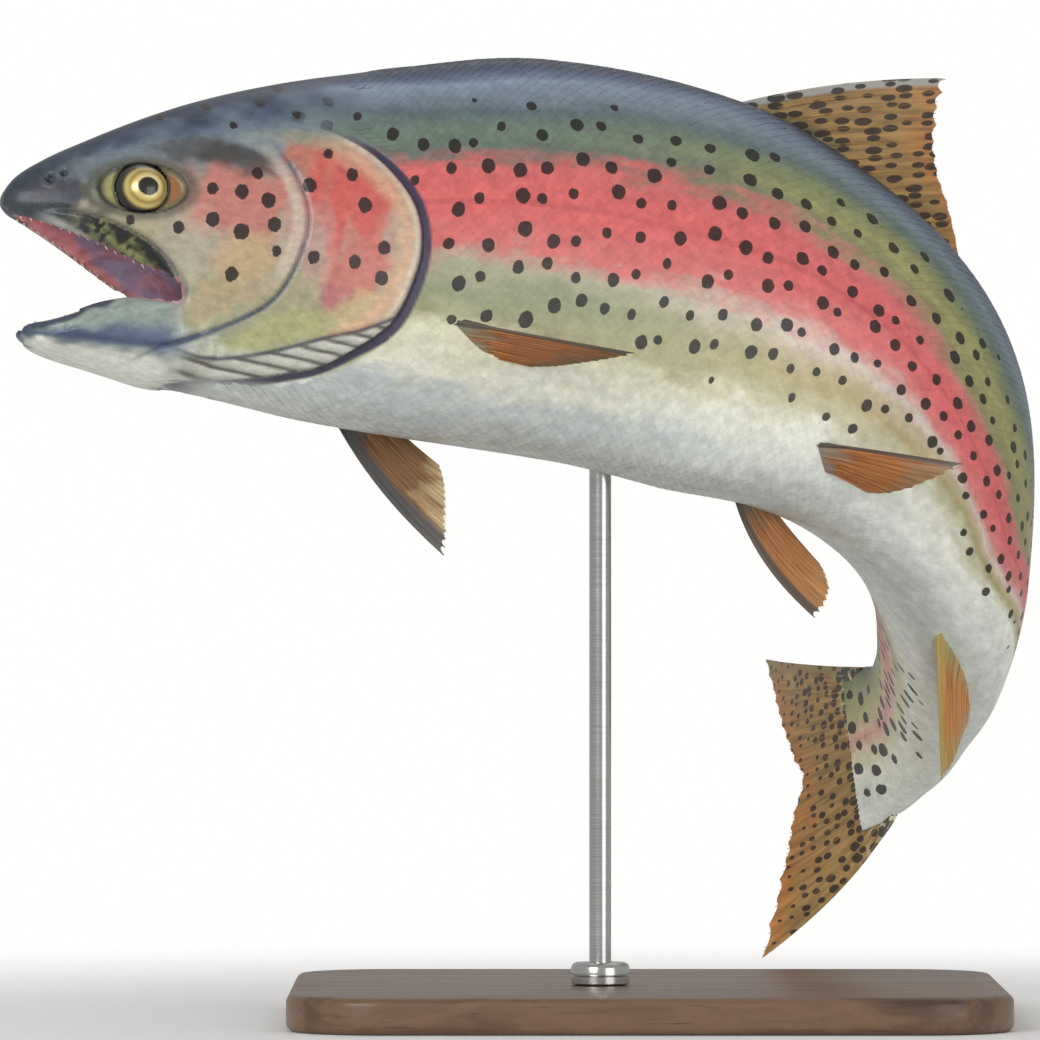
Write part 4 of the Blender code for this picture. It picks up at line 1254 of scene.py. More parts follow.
def build_markings():
    """The group: level, spot place and straight place in; colour and spot mask out."""
    group, (level, spot_place, straight), outputs = new_group(
        "trout_markings", {"Level": "Float", "Spot Place": "Vector", "Straight": "Vector"},
        {"Colour": "Color", "Spots": "Float"})
    x, y, _ = parts(straight)
    shift = (noise(stretch(straight, (0.035, 0.11, 0.11)), detail=4.0) - 0.5) * 0.75
    fine_shift = (noise(stretch(straight, (0.16, 0.4, 0.4))) - 0.5) * 0.30
    share = (level + (shift + fine_shift) * (1.0 - soft_step(level, 3.7, 4.2) * 0.72)) / 5.0
    front, rear, far = (ramp(share, [(place / 5.0, colour) for place, colour in colours])
                        for colours in (FRONT_COLOURS, REAR_COLOURS, LIT_RIGHT_SIDE_COLOURS))
    tailward = x + shift * 60.0
    # painted light: on the right of the tail stock the zones give way to paler colours
    on_right = soft_step(tailward, 330.0, 385.0) * soft_step(y, -1.0, 1.5)
    zones = mix(on_right, mix(soft_step(tailward, 140.0, 245.0), front, rear), far)
    dapple = noise(stretch(straight, (0.22, 0.3, 0.3)), detail=4.0, roughness=0.6)
    varied = vector_math("SCALE", zones, remap(dapple, 0.86, 1.13, 0.3, 0.7))
    lateral_line = 1.0 - soft_step(calc("ABSOLUTE", level - 2.52), 0.012, 0.04)
    lined = mix(lateral_line * 0.2, varied, (0.30, 0.06, 0.07, 1))

    nudge = vector_math("SCALE", noise(spot_place, 3.2, 2.0, 0.5, "Color"), 0.10)
    squashed = stretch(vector_math("ADD", spot_place, nudge), (1.0, 0.88, 1.0))
    cells = put(group, "ShaderNodeTexVoronoi",
                {"Vector": squashed, "Scale": 1.0, "Randomness": 0.52}, voronoi_dimensions="2D")
    red, green, blue = parts(Wire(cells, "Color"), "Color")
    lowest = green * 0.75 + (1.0 - on_right) * (0.4 - soft_step(x, 270.0, 330.0) * 0.25)
    below_back = 1.0 - soft_step(level - blue * 0.45, 3.62, 3.92)
    allowed = soft_step(level - lowest, 0.25, 0.55) * below_back
    reach = remap(red, 0.15, 0.235) * (on_right * 0.25 + 1.0) * allowed
    spots = soft_step(reach - Wire(cells, "Distance"), -0.012, 0.018) * soft_step(allowed, 0.2, 0.4)
    join(outputs["Colour"], mix(spots * 0.94, lined, SPOT_BLACK))
    join(outputs["Spots"], spots)
    return group


MARKINGS = build_markings()
print("marking group nodes:", len(MARKINGS.nodes))

# %% [markdown]
# ## Skin and scale finishes
#
# A wet trout is glossy over a slightly silvery skin. The base is a satin paint with a little metal in it,
# and a clear coat gives the wet highlight, as varnish does on the mounted fish. The head's own paint
# covers the markings where the head mask says. Fine pores come from a small bump, since they are too
# small for the mesh.

# %% Build the skin and scale materials
def build_pores():
    """A group for fine uneven skin: a place vector and a scale in; a height and a value out."""
    group, (place, scale), outputs = new_group(
        "fine_skin", {"Place": "Vector", "Scale": "Float"}, {"Height": "Float", "Value": "Float"})
    grain = noise(place, scale, 5.0, 0.5)
    pits = put(group, "ShaderNodeTexVoronoi", {"Vector": place, "Scale": scale})
    join(outputs["Height"], grain + soft_step(Wire(pits, "Distance"), 0.0, 0.35) * 0.5)
    join(outputs["Value"], grain)
    return group


PORES_GROUP = build_pores()


def marked(tree):
    """The marking group, fed with the places that the mesh stores."""
    return use_group(tree, MARKINGS, Level=attribute(tree, "level", "Fac"),
                     Spot_Place=attribute(tree, "spot_place"), Straight=attribute(tree, "straight"))


def make_skin_finish():
    """The skin's finish: markings on the body, brushed paint on the head."""
    material, tree, shader = new_material("trout_skin")
    straight = attribute(tree, "straight")
    brushwork = noise(stretch(straight, (0.35, 0.5, 0.5)), detail=5.0, roughness=0.62)
    paint = attribute(tree, "head_paint", "Color")
    paint = vector_math("SCALE", paint, remap(brushwork, 0.82, 1.17, 0.3, 0.7))
    gap = attribute(tree, "spot_gap", "Fac") + (noise(straight, 0.9) - 0.5) * 1.1
    spotted = mix((1.0 - soft_step(gap, -0.12, 0.2)) * 0.94, paint, SPOT_BLACK)
    colour = mix(attribute(tree, "head", "Fac"), Wire(marked(tree), "Colour"), spotted)
    pores = use_group(tree, PORES_GROUP, Place=straight, Scale=0.9)
    set_inputs(shader, Base_Color=colour, Roughness=remap(Wire(pores, "Value"), 0.25, 0.5), Metallic=0.08,
               Coat_Weight=0.18, Coat_Roughness=0.2, Specular_IOR_Level=0.3, Subsurface_Weight=0.05,
               Subsurface_Scale=0.003, Normal=bump(Wire(pores, "Height"), 0.25, 0.0003))
    return material


def make_scale_finish():
    """The scales' finish: the same markings, a little silver, and a tone of its own for each scale."""
    material, tree, shader = new_material("trout_scales")
    marks, tone = marked(tree), attribute(tree, "tone", "Fac")
    colour = vector_math("SCALE", Wire(marks, "Colour"), remap(tone, 0.94, 1.06))
    set_inputs(shader, Base_Color=colour, Metallic=(1.0 - Wire(marks, "Spots")) * 0.12, Coat_Weight=0.15,
               Roughness=remap(tone, 0.28, 0.44), Coat_Roughness=0.2, Specular_IOR_Level=0.3)
    return material


SKIN_FINISH = make_skin_finish()
SCALE_FINISH = make_scale_finish()
skin.data.materials.clear()
skin.data.materials.append(SKIN_FINISH)
FLESH_NODES = ["head", "gill_cover_left", "gill_cover_right", "maxilla_left", "maxilla_right", "lower_jaw",
               "trunk_front", "trunk_middle", "trunk_rear", "tail_stock"]
print("finishes:", SKIN_FINISH.name, SCALE_FINISH.name)

# %% [markdown]
# ## The scales
#
# A trout's scales are thin, small and half hidden: each grows from a pocket in the skin and lies back
# over the next one, in staggered rows that follow the body. There are tens of thousands, so each is only
# a flat lens of eight corners, with its front sunk in the skin and its rear edge a quarter of a
# millimetre proud. Geometry Nodes set one on each root, turned to lie along the skin, while the fish is
# still straight. Then every corner is bent with the body, and stores its place so that the markings run
# on over it.

# %% The shape of one scale, and the roots
SCALE_WIDTH = 3.1  # at the deepest part of the body, in mm
ROWS_FRONT, ROWS_REAR, ROWS_CHANGE = 90, 62, 335.0
SCALE_OUTLINE = ((1.0, 0.0), (0.80, 0.34), (0.42, 0.5), (0.0, 0.42), (-0.3, 0.0))  # length and width shares
SUNK, PROUD, DOME = -0.14, 0.27, 0.09  # front, rear edge and middle, in mm
BAKE_MARGIN, BAKE_PATCH = 0.02, 0.0026


def make_scale_shape():
    """One scale: a closed lens whose long axis is X and whose outer face is +Z."""
    ring = [*SCALE_OUTLINE, *((x, -y) for x, y in SCALE_OUTLINE[-2:0:-1])]
    front, rear = SCALE_OUTLINE[-1][0], SCALE_OUTLINE[0][0]
    points = [(x, y, SUNK + (PROUD - SUNK) * (x - front) / (rear - front)) for x, y in (*ring, (0.42, 0.0))]
    points[-1] = (*points[-1][:2], points[-1][2] + DOME)
    count = len(ring)
    faces = [(k, (k + 1) % count, count) for k in range(count)] + [tuple(reversed(range(count)))]
    mesh = new_mesh("scale_shape", points, faces)
    shade(mesh, 60)
    store(mesh, "local", points)
    return place_mesh("scale_shape", mesh)


def settle_on_skin(place, outward):
    """Moves points of the plain section onto the modelled skin, and leans their outward directions to it."""
    straight = read(skin.data.attributes["straight"].data, "vector")
    tree = BVHTree.FromPolygons(straight.tolist(), [tuple(face.vertices) for face in skin.data.polygons])
    place, outward = place.copy(), outward.copy()
    for k, point in enumerate(place):
        near, normal, _, _ = tree.find_nearest(point.tolist(), 4.0)
        if near is not None:
            place[k] = near
            outward[k] += 0.8 * np.array(normal)
    return place, unit(outward)


def scale_roots():
    """The roots' places, outward and tailward directions, sizes, tones and places on the unrolled skin."""
    angles = np.linspace(0, math.pi, UNROLL_SIDES)
    full = 2 * skin_length(180.0, math.pi)
    x, row, parts_of_coat = 50.0, 0, []
    while x < SKIN_ENDS - 3:
        around = 2 * skin_length(x, math.pi)
        step = SCALE_WIDTH * (around / full) ** 0.5
        count = ROWS_FRONT if x < ROWS_CHANGE else ROWS_REAR
        share = (np.arange(count) + 0.5 * (row % 2)) / count
        length = (share - 0.5) * around
        angle = np.interp(np.abs(length), skin_length(np.full(UNROLL_SIDES, x), angles), angles)
        values = (x, angle, np.where(length < 0, -1.0, 1.0), step * 1.28, around / count * 1.22, share)
        parts_of_coat.append(np.stack(np.broadcast_arrays(*values), axis=1))
        x, row = x + 0.5 * step, row + 1
    x, angle, side, long, wide, share = np.concatenate(parts_of_coat).T
    draw = np.random.default_rng(7)
    x = x + draw.normal(0, 0.10, len(x))
    place = section_point(x, angle, side)
    tailward = unit(section_point(x + 0.5, angle, side) - section_point(x - 0.5, angle, side))
    step = np.clip(angle, 0.02, math.pi - 0.02)
    across = section_point(x, step + 0.01, side) - section_point(x, step - 0.01, side)
    outward = unit(np.cross(tailward, across)) * side[:, None] * -1
    outward[np.sum(outward * place * (0, 1, 1), axis=1) < 0] *= -1
    size = np.stack([long, wide, np.ones(len(x))], axis=1) * draw.uniform(0.94, 1.06, (len(x), 1))
    keep = (head_mask(place) < 0.02) & ~((x > 436) & (np.sin(angle) < 0.4))
    place, outward = settle_on_skin(place, outward)
    tailward = unit(tailward - outward * np.sum(tailward * outward, axis=1, keepdims=True))
    tone = draw.uniform(0, 1, len(x))
    unrolled = BAKE_MARGIN + (1 - 2 * BAKE_MARGIN) * np.stack([x / SKIN_ENDS, share, 0 * x], axis=1)
    values = {"outward": outward, "tailward": tailward, "size": size, "tone": tone, "unrolled": unrolled}
    return place[keep], {key: value[keep] for key, value in values.items()}


ROOTS, ROOT_FACTS = scale_roots()
print("scales:", len(ROOTS))

# %% The scale tree
def chain(tree, geometry, *steps):
    """Sends geometry through a row of nodes, each with its other inputs."""
    for kind, entry, inputs in steps:
        geometry = Wire(put(tree, kind, {entry: geometry, **inputs}))
    return geometry


def named(tree, name, kind):
    """A value stored on the points."""
    node = put(tree, "GeometryNodeInputNamedAttribute", {"Name": name}, data_type=kind)
    return Wire(node, "Attribute")


def build_scale_tree():
    """Sets a scale on every point, turned by the point's own directions."""
    group, (roots, shape, finish), outputs = new_group(
        "grow_scales", {"Roots": "Geometry", "Scale Shape": "Object", "Finish": "Material"},
        {"Coat": "Geometry"}, "GeometryNodeTree")
    outward, tailward, size = (named(group, key, "FLOAT_VECTOR") for key in ("outward", "tailward", "size"))
    turn = put(group, "FunctionNodeAxesToRotation", {"Primary Axis": outward, "Secondary Axis": tailward},
               primary_axis="Z", secondary_axis="X")
    scale = Wire(put(group, "GeometryNodeObjectInfo", {"Object": shape}), "Geometry")
    placed = {"Instance": scale, "Rotation": Wire(turn), "Scale": size}
    join(outputs["Coat"], chain(
        group, roots,
        ("GeometryNodeInstanceOnPoints", "Points", placed),
        ("GeometryNodeRealizeInstances", "Geometry", {}),
        ("GeometryNodeSetMaterial", "Geometry", {"Material": finish})))
    return group


def grow_coat(name, shape, here):
    """One half of the coat, with its markings' places and its bake map, bent to the pose."""
    roots = new_mesh("roots", ROOTS[here])
    for key, values in ROOT_FACTS.items():
        store(roots, key, values[here])
    obj = place_mesh(name, roots)
    mesh = grow(obj, SCALE_TREE, Scale_Shape=shape, Finish=SCALE_FINISH)
    points = points_of(mesh)
    store_markings(mesh, points)
    unrolled, local = (read(mesh.attributes[key].data, "vector") for key in ("unrolled", "local"))
    corners = np.zeros(len(mesh.loops), np.int32)
    mesh.loops.foreach_get("vertex_index", corners)
    spread = (unrolled + local * BAKE_PATCH)[corners, :2]
    mesh.uv_layers.new(name="OFBake").data.foreach_set("uv", spread.astype(np.float32).ravel())
    for spare in ("outward", "tailward", "size", "unrolled", "local"):
        if spare in mesh.attributes:
            mesh.attributes.remove(mesh.attributes[spare])
    move_points(mesh, posed(points))
    obj.data = mesh
    bpy.data.meshes.remove(roots)
    print(name, "triangles:", sum(len(face.vertices) - 2 for face in mesh.polygons))
    return obj


SCALE_TREE = build_scale_tree()
scale_shape = make_scale_shape()
on_left = ROOTS[:, 1] <= 0
coats = [grow_coat("scales_left", scale_shape, on_left), grow_coat("scales_right", scale_shape, ~on_left)]
bpy.data.objects.remove(scale_shape)

# %% [markdown]
# ## The eyes
#
# A trout's eye is a ball with almost no lid. The iris is brassy gold with darker flecks that run out from
# the pupil, which comes to a slight point in front. A museum eye is glass painted on the back; here the
# paint is on the ball and a strong clear coat stands for the glass. The ball is built round its own axis,
# and each point stores its place on the iris, so the rings stay round whichever way the eye looks.

# %% Eyeballs
IRIS_ANGLE = 47.0  # from the axis to the iris's edge, in degrees
BALL_RADIUS, CORNEA = EYE_RADIUS + 0.4, 0.3  # a tight fit in its opening
PUPIL_SHARE = 0.37


def make_eye(side, rings=44, sides=72):
    """An eyeball with its iris facing outwards, in place."""
    x, y, z = EYE_CENTRE
    axes = frame_at(x)[1]
    centre = posed([x, side * y, z])
    polar = np.linspace(0, 1, rings + 1)[1:-1, None] ** 1.3 * math.pi
    around = np.arange(sides)[None] * 2 * math.pi / sides
    radius = (BALL_RADIUS + CORNEA * (1 - smooth(20, 62, np.degrees(polar)))) * MM
    snoutwards, upwards, outwards = -axes[:, 0], axes[:, 2], axes[:, 1] * side
    ring = np.cos(around)[..., None] * snoutwards + np.sin(around)[..., None] * upwards
    c, s = np.cos(polar)[..., None], np.sin(polar)[..., None]
    ball = centre + radius[..., None] * (s * ring + c * outwards)
    share = np.degrees(polar) / IRIS_ANGLE
    iris = np.stack(np.broadcast_arrays(share * np.cos(around), share * np.sin(around), share), axis=-1)
    points = [[centre + outwards * (BALL_RADIUS + CORNEA) * MM], ball.reshape(-1, 3),
              [centre - outwards * BALL_RADIUS * MM]]
    last, pole = 1 + (rings - 2) * sides, 1 + (rings - 1) * sides
    faces = [(0, 1 + (k + 1) % sides, 1 + k) for k in range(sides)] + ring_faces(rings - 1, sides, 1)
    faces += [(last + k, last + (k + 1) % sides, pole) for k in range(sides)]
    mesh = new_mesh("eye", np.concatenate(points), faces)
    store(mesh, "iris", np.concatenate([[[0, 0, 0]], iris.reshape(-1, 3), [[0, 0, 180 / IRIS_ANGLE]]]))
    mesh.shade_smooth()
    return face_outwards(place_mesh(f"eyeball_{'left' if side < 0 else 'right'}", mesh))


IRIS_REACH = 1.4  # where the iris's colours end, as a share of its radius
IRIS_COLOURS = (
    (0.0, (0.004, 0.004, 0.005)), (PUPIL_SHARE - 0.03, (0.004, 0.004, 0.005)),
    (PUPIL_SHARE, (0.3, 0.22, 0.05)), (PUPIL_SHARE + 0.04, (0.92, 0.8, 0.42)), (0.55, (0.82, 0.64, 0.2)),
    (0.66, (0.42, 0.28, 0.07)), (0.74, (0.6, 0.44, 0.12)), (0.84, (0.78, 0.64, 0.24)),
    (0.93, (0.52, 0.38, 0.11)), (1.0, (0.12, 0.09, 0.03)), (1.08, (0.02, 0.02, 0.018)),
    (1.3, (0.05, 0.055, 0.055)),
)


def make_eye_finish():
    """Gold iris with dark rings and flecks, its top darkened by a painted shadow of the lid, and a black
    pupil under a clear coat.
    """
    material, tree, shader = new_material("glass_eye")
    x, y, z = parts(attribute(tree, "iris"))
    pointed = (x - 0.03) * 0.90
    across = calc("POWER", pointed * pointed + y * y, 0.5)
    turn = calc("ARCTAN2", y, x)
    round_about = {"X": calc("SINE", turn) * 5.0, "Y": calc("COSINE", turn) * 5.0, "Z": z * 0.8}
    wobble = (noise(Wire(put(tree, "ShaderNodeCombineXYZ", round_about)), 2.2, 4.0, 0.65) - 0.5) * 0.10
    stops = [(place / IRIS_REACH, colour) for place, colour in IRIS_COLOURS]
    rings = ramp((across + wobble) * (1 / IRIS_REACH), stops)
    in_iris = soft_step(across, PUPIL_SHARE, PUPIL_SHARE + 0.06)
    # painted shadow of the lid: the top of the iris is darkened
    painted_lid_shadow = soft_step(y + wobble, 0.35, 1.0) * in_iris * 0.55
    set_inputs(shader, Base_Color=mix(painted_lid_shadow, rings, (0.07, 0.055, 0.03, 1)), Metallic=in_iris * 0.35,
               Roughness=0.32, Coat_Weight=0.75, Coat_Roughness=0.02)
    return material


EYE_FINISH = make_eye_finish()
eyes = [make_eye(side) for side in (-1, 1)]
for eye in eyes:
    eye.data.materials.append(EYE_FINISH)
print("eyes:", [eye.name for eye in eyes])

# %% [markdown]
# ## Tongue and teeth
#
# With the jaws wide open a trout shows small, sharp, backward-leaning teeth on both jaws and on its
# tongue, which is a firm pad with a groove down its middle. The tongue is a loft. The teeth repeat, so a
# small Geometry Nodes tree sets one curved cone on each root. The roots are found where the lining meets
# the jaw's outer wall.

# %% Tongue
TONGUE = ((14.0, 1.2), (18.0, 4.6), (28.0, 6.4), (44.0, 6.6), (54.0, 5.6))  # x, half width
TONGUE_HEIGHT = 5.0
tongue_width = column_profiles(TONGUE)[0]


def tongue_top(x):
    """The height of the tongue's top and bottom at x."""
    half = float(tongue_width(x))
    bottom = float(mouth_floor(x)) + 0.9 + half * half / 16
    return bottom + TONGUE_HEIGHT * min(1.0, half / 5), bottom


def make_tongue(sides=40):
    """The tongue, with a shallow groove along its top."""
    rings = []
    for x in np.concatenate([[14.0, 14.4, 15.0], np.arange(16, 54.1, 1.0)]):
        half = float(tongue_width(x)) - 0.1
        top, bottom = tongue_top(x)
        ring = rim_section(x, top, bottom, half, 2.0, 2.2, sides)
        on_top = ring[:, 2] > (top + bottom) / 2
        groove = 0.9 * min(1.0, half / 5) * (1 - smooth(0, 0.45, np.abs(ring[:, 1]) / half))
        ring[:, 2] -= np.where(on_top, groove, 0)
        ring[:, 2] += 0.12 * np.sin(x * 2.1 + ring[:, 1] * 1.3)
        rings.append(posed(ring))
    obj = loft("tongue_pad", rings)
    obj.data.shade_smooth()
    return obj


def make_mouth_finish():
    """Wet pink flesh that turns lilac, with a fine grain."""
    material, tree, shader = new_material("mouth_flesh")
    place = object_place(tree)
    stops = ((0.3, (0.20, 0.20, 0.34)), (0.5, (0.42, 0.30, 0.38)), (0.7, (0.66, 0.32, 0.34)))
    grain = use_group(tree, PORES_GROUP, Place=place, Scale=900.0)
    set_inputs(shader, Base_Color=ramp(noise(place, 120.0), stops), Roughness=0.3, Coat_Weight=0.6,
               Coat_Roughness=0.12, Subsurface_Weight=0.1, Subsurface_Scale=0.002,
               Normal=bump(Wire(grain, "Height"), 0.35, 0.0003))
    return material


tongue = make_tongue()
tongue.data.materials.append(make_mouth_finish())
print("tongue faces:", len(tongue.data.polygons))

# %% Teeth
TOOTH_HEIGHT, TOOTH_RADIUS = 1.3, 0.34
TOOTH_PITCH = 2.4


def wall_gap(x, z, lower):
    """The jaw wall's inner and outer distance from the middle, at x and each z."""
    def wide(top, bottom, half, roundness):
        rise = np.clip(np.abs(z - (top + bottom) / 2) / ((top - bottom) / 2), 0, 1)
        return half * (1 - rise**roundness) ** (1 / roundness)

    inner = wide(mouth_roof(x), mouth_floor(x), mouth_width(x), MOUTH_ROUNDNESS)
    if lower:
        return inner, wide(jaw_rim(x), jaw_underside(x), jaw_width(x), JAW_ROUNDNESS[0])
    return inner, wide(belly_depth(x), -belly_depth(x), half_width(x), lower_roundness(x))


def tooth_roots():
    """Places, pointing directions and sizes of all the teeth, in straight millimetres."""
    roots = []
    for lower, start, end in ((False, 5.0, 38.0), (True, 10.0, 36.0)):
        for x in np.arange(start, end, TOOTH_PITCH):
            z = np.linspace(-40, jaw_rim(x), 80) if lower else np.linspace(-2, -belly_depth(x), 80)
            inner, outer = wall_gap(x, z, lower)
            solid = np.flatnonzero(outer - inner > 0.7)
            rim = z[solid[-1]] if len(solid) else z[-1]
            middle = (inner[solid[-1]] + outer[solid[-1]]) / 2 if len(solid) else 1.0
            up = 1.0 if lower else -1.0
            for side in (-1, 1):
                roots.append(((x, side * (middle - 0.3), rim - 0.35 * up), (0.35, -side * 0.22, up),
                              0.75 + 0.35 * math.sin(x * 2.3) ** 2))
    for x in np.arange(19, 34, 3.0):
        roots += [((x, y, tongue_top(x)[0] - 0.5), (0.6, 0, 1.0), 0.7) for y in (-2.6, 2.6)]
    return roots


def make_tooth_shape():
    """One tooth: a cone that leans back towards its tip."""
    mesh = bpy.data.meshes.new("tooth_shape")
    with shaping(mesh) as work:
        bmesh.ops.create_cone(work, cap_ends=True, segments=7, radius1=1.0, radius2=0.12, depth=1.0)
        bmesh.ops.translate(work, verts=work.verts, vec=(0, 0, 0.5))
        uprights = [edge for edge in work.edges if abs(edge.verts[0].co.z - edge.verts[1].co.z) > 0.5]
        bmesh.ops.subdivide_edges(work, edges=uprights, cuts=2)
        for corner in work.verts:
            corner.co.x += corner.co.z**2
    mesh.shade_smooth()
    return place_mesh("tooth_shape", mesh)


def make_teeth():
    """All teeth, as one mesh."""
    places, ways, sizes = zip(*tooth_roots())
    roots = new_mesh("tooth_roots", places)
    store(roots, "outward", unit(np.array(ways, float)))
    store(roots, "tailward", np.tile((1.0, 0, 0), (len(places), 1)))
    store(roots, "size", np.array(sizes)[:, None] * (TOOTH_RADIUS, TOOTH_RADIUS, TOOTH_HEIGHT))
    obj = place_mesh("teeth", roots)
    shape = make_tooth_shape()
    material, tree, shader = new_material("tooth_enamel")
    tint = ramp(noise(object_place(tree), 300.0), [(0.3, (0.62, 0.56, 0.42)), (0.7, (0.80, 0.77, 0.66))])
    set_inputs(shader, Base_Color=tint, Roughness=0.25, Coat_Weight=0.5)
    obj.data = grow(obj, SCALE_TREE, Scale_Shape=shape, Finish=material)
    move_points(obj.data, posed(points_of(obj.data)))
    bpy.data.objects.remove(shape)
    return obj


teeth = make_teeth()
print("teeth faces:", len(teeth.data.polygons))

# %% [markdown]
# ## Fins
#
# A fin is a fan of bony rays that split towards their tips, with a thin web of skin between them. A flat
# plate would look like card, so each fin is made of two pieces on one curved surface: a closed web, thick
# and fleshy at its root and paper-thin at its ragged edge, and the rays, as lines that fork twice.
# Geometry Nodes turn the lines into tapered tubes. Both pieces store their place on the fin, for the
# spots and the streaks.

# %% The fins' surfaces
# A fin: its root (x and angle from the back, at the first and the last ray), and the facts of some rays
# (share across the fin, length, lift, direction around the body, curl).
FINS = {
    "dorsal_fin": (
        (197.0, 260.0, 0.0, 0.0),
        (
            (0.0, 73, 31, 0, 9), (0.15, 60, 30, 0, 5), (0.35, 44, 27, 0, 1), (0.55, 32, 30, 0, 0),
            (0.75, 22, 36, 0, 0), (1.0, 9, 48, 0, 0),
        ),
    ),
    "adipose_fin": (
        (362.5, 372.0, 0.0, 0.0), ((0.0, 10, 30, 0, 2), (0.5, 14, 28, 0, 3), (1.0, 12, 18, 0, 3)),
    ),
    "anal_fin": (
        (321.0, 350.0, 180.0, 180.0),
        ((0.0, 48, 24, 182, 4), (0.3, 36, 24, 181, 2), (0.6, 22, 24, 180, 1), (1.0, 9, 24, 180, 0)),
    ),
    "pectoral_fin_left": (
        (118.0, 126.0, 117.0, 128.0), ((0.0, 57, 46, 111, 2), (0.4, 38, 39, 117, 1), (1.0, 16, 24, 130, 0)),
    ),
    "pectoral_fin_right": (
        (98.0, 112.0, -145.0, -152.0),
        ((0.0, 54, 57, -170, 11), (0.4, 41, 49, -170, 6), (1.0, 22, 38, -170, 1)),
    ),
    "pelvic_fin_left": (
        (238.0, 246.0, 138.0, 146.0), ((0.0, 46, 54, 90, 2), (0.4, 35, 56, 99, 2), (1.0, 17, 48, 112, 0)),
    ),
    "pelvic_fin_right": (
        (234.0, 248.0, -150.0, -160.0),
        ((0.0, 43, 48, -166, 15), (0.4, 38, 33, -170, 9), (1.0, 25, 16, -176, 1)),
    ),
}
TAIL = (  # height on the tail stock, ray length, spread, flex
    (-22.0, 68.6, -27.7, 19.5), (-18.0, 60.5, -21.2, 16.5), (-12.0, 54.7, -14.2, 12.0),
    (-5.0, 50.4, -8.1, 7.5), (-0.2, 46.0, -4.6, 4.5), (0.2, 46.0, -3.6, 4.0), (5.0, 51.0, -0.8, 2.0),
    (12.0, 61.0, 4.8, -2.0), (18.0, 73.0, 8.7, -6.0), (22.0, 82.0, 12.0, -8.0),
)
RAY_COUNTS = {"dorsal_fin": 12, "adipose_fin": 7, "anal_fin": 11, "pectoral_fin_left": 13,
              "pectoral_fin_right": 13, "pelvic_fin_left": 10, "pelvic_fin_right": 10, "caudal_fin": 20}
ROOT_DEPTH = 3.0  # how far inside the body a fin starts
FIN_ACROSS, FIN_STEPS = 121, 41


def ray_direction(x, lift, around):
    """A unit vector in the display: lift is its angle from the body's line, around its side of it."""
    axes = frame_at(x)[1]
    a, q = math.radians(lift), math.radians(around)
    outwards = math.cos(q) * axes[:, 2] - math.sin(q) * axes[:, 1]
    return math.cos(a) * axes[:, 0] + math.sin(a) * outwards


def fin_surface(root, rays):
    """A fin's surface as a grid of points, from the leading ray to the trailing one."""
    length, lift, around, curl = column_profiles(rays)
    x0, x1, a0, a1 = root
    v = np.linspace(0, 1, FIN_STEPS)[:, None]
    grid = []
    for u in np.linspace(0, 1, FIN_ACROSS):
        x, angle = x0 + (x1 - x0) * u, math.radians(a0 + (a1 - a0) * u)
        start = posed(section_point(x, angle, -1.0, ROOT_DEPTH)) / MM
        line, back = (ray_direction(x, lift(u) - turned_by, around(u)) for turned_by in (0, 90))
        along = length(u) * v + ROOT_DEPTH * (1 - v)
        grid.append((start + line * along + back * curl(u) * v * v) * MM)
    return np.array(grid)


def tail_surface():
    """The tail fin's surface: its rays fan in the fin's plane and flex more and more to the side."""
    length, spread, flex = column_profiles(TAIL)
    place, axes = frame_at(STANDARD_LENGTH)
    v = np.linspace(0, 1, FIN_STEPS)[:, None]
    grid = []
    for height in np.linspace(TAIL[-1][0], TAIL[0][0], FIN_ACROSS):
        fan, bend = np.radians(spread(height)), np.radians(flex(height)) * v
        plane = np.cos(fan) * axes[:, 0] + np.sin(fan) * axes[:, 2]
        line = np.cos(bend) * plane + np.sin(bend) * axes[:, 1]
        grid.append((place + axes[:, 2] * height + line * length(height) * v) * MM)
    return np.array(grid)


SURFACES = {name: fin_surface(*facts) for name, facts in FINS.items()}
SURFACES["caudal_fin"] = tail_surface()
print("fins:", len(SURFACES))

# %% The web of a fin
WEB_TIP, WEB_ROOT, LEADING_EDGE = 0.13, 1.0, 0.35  # half thickness in mm


def ray_place(count, k):
    """Where ray k stands across the fin: rays crowd a little towards the leading edge."""
    return 0.008 + 0.984 * (np.asarray(k) / (count - 1)) ** 1.08


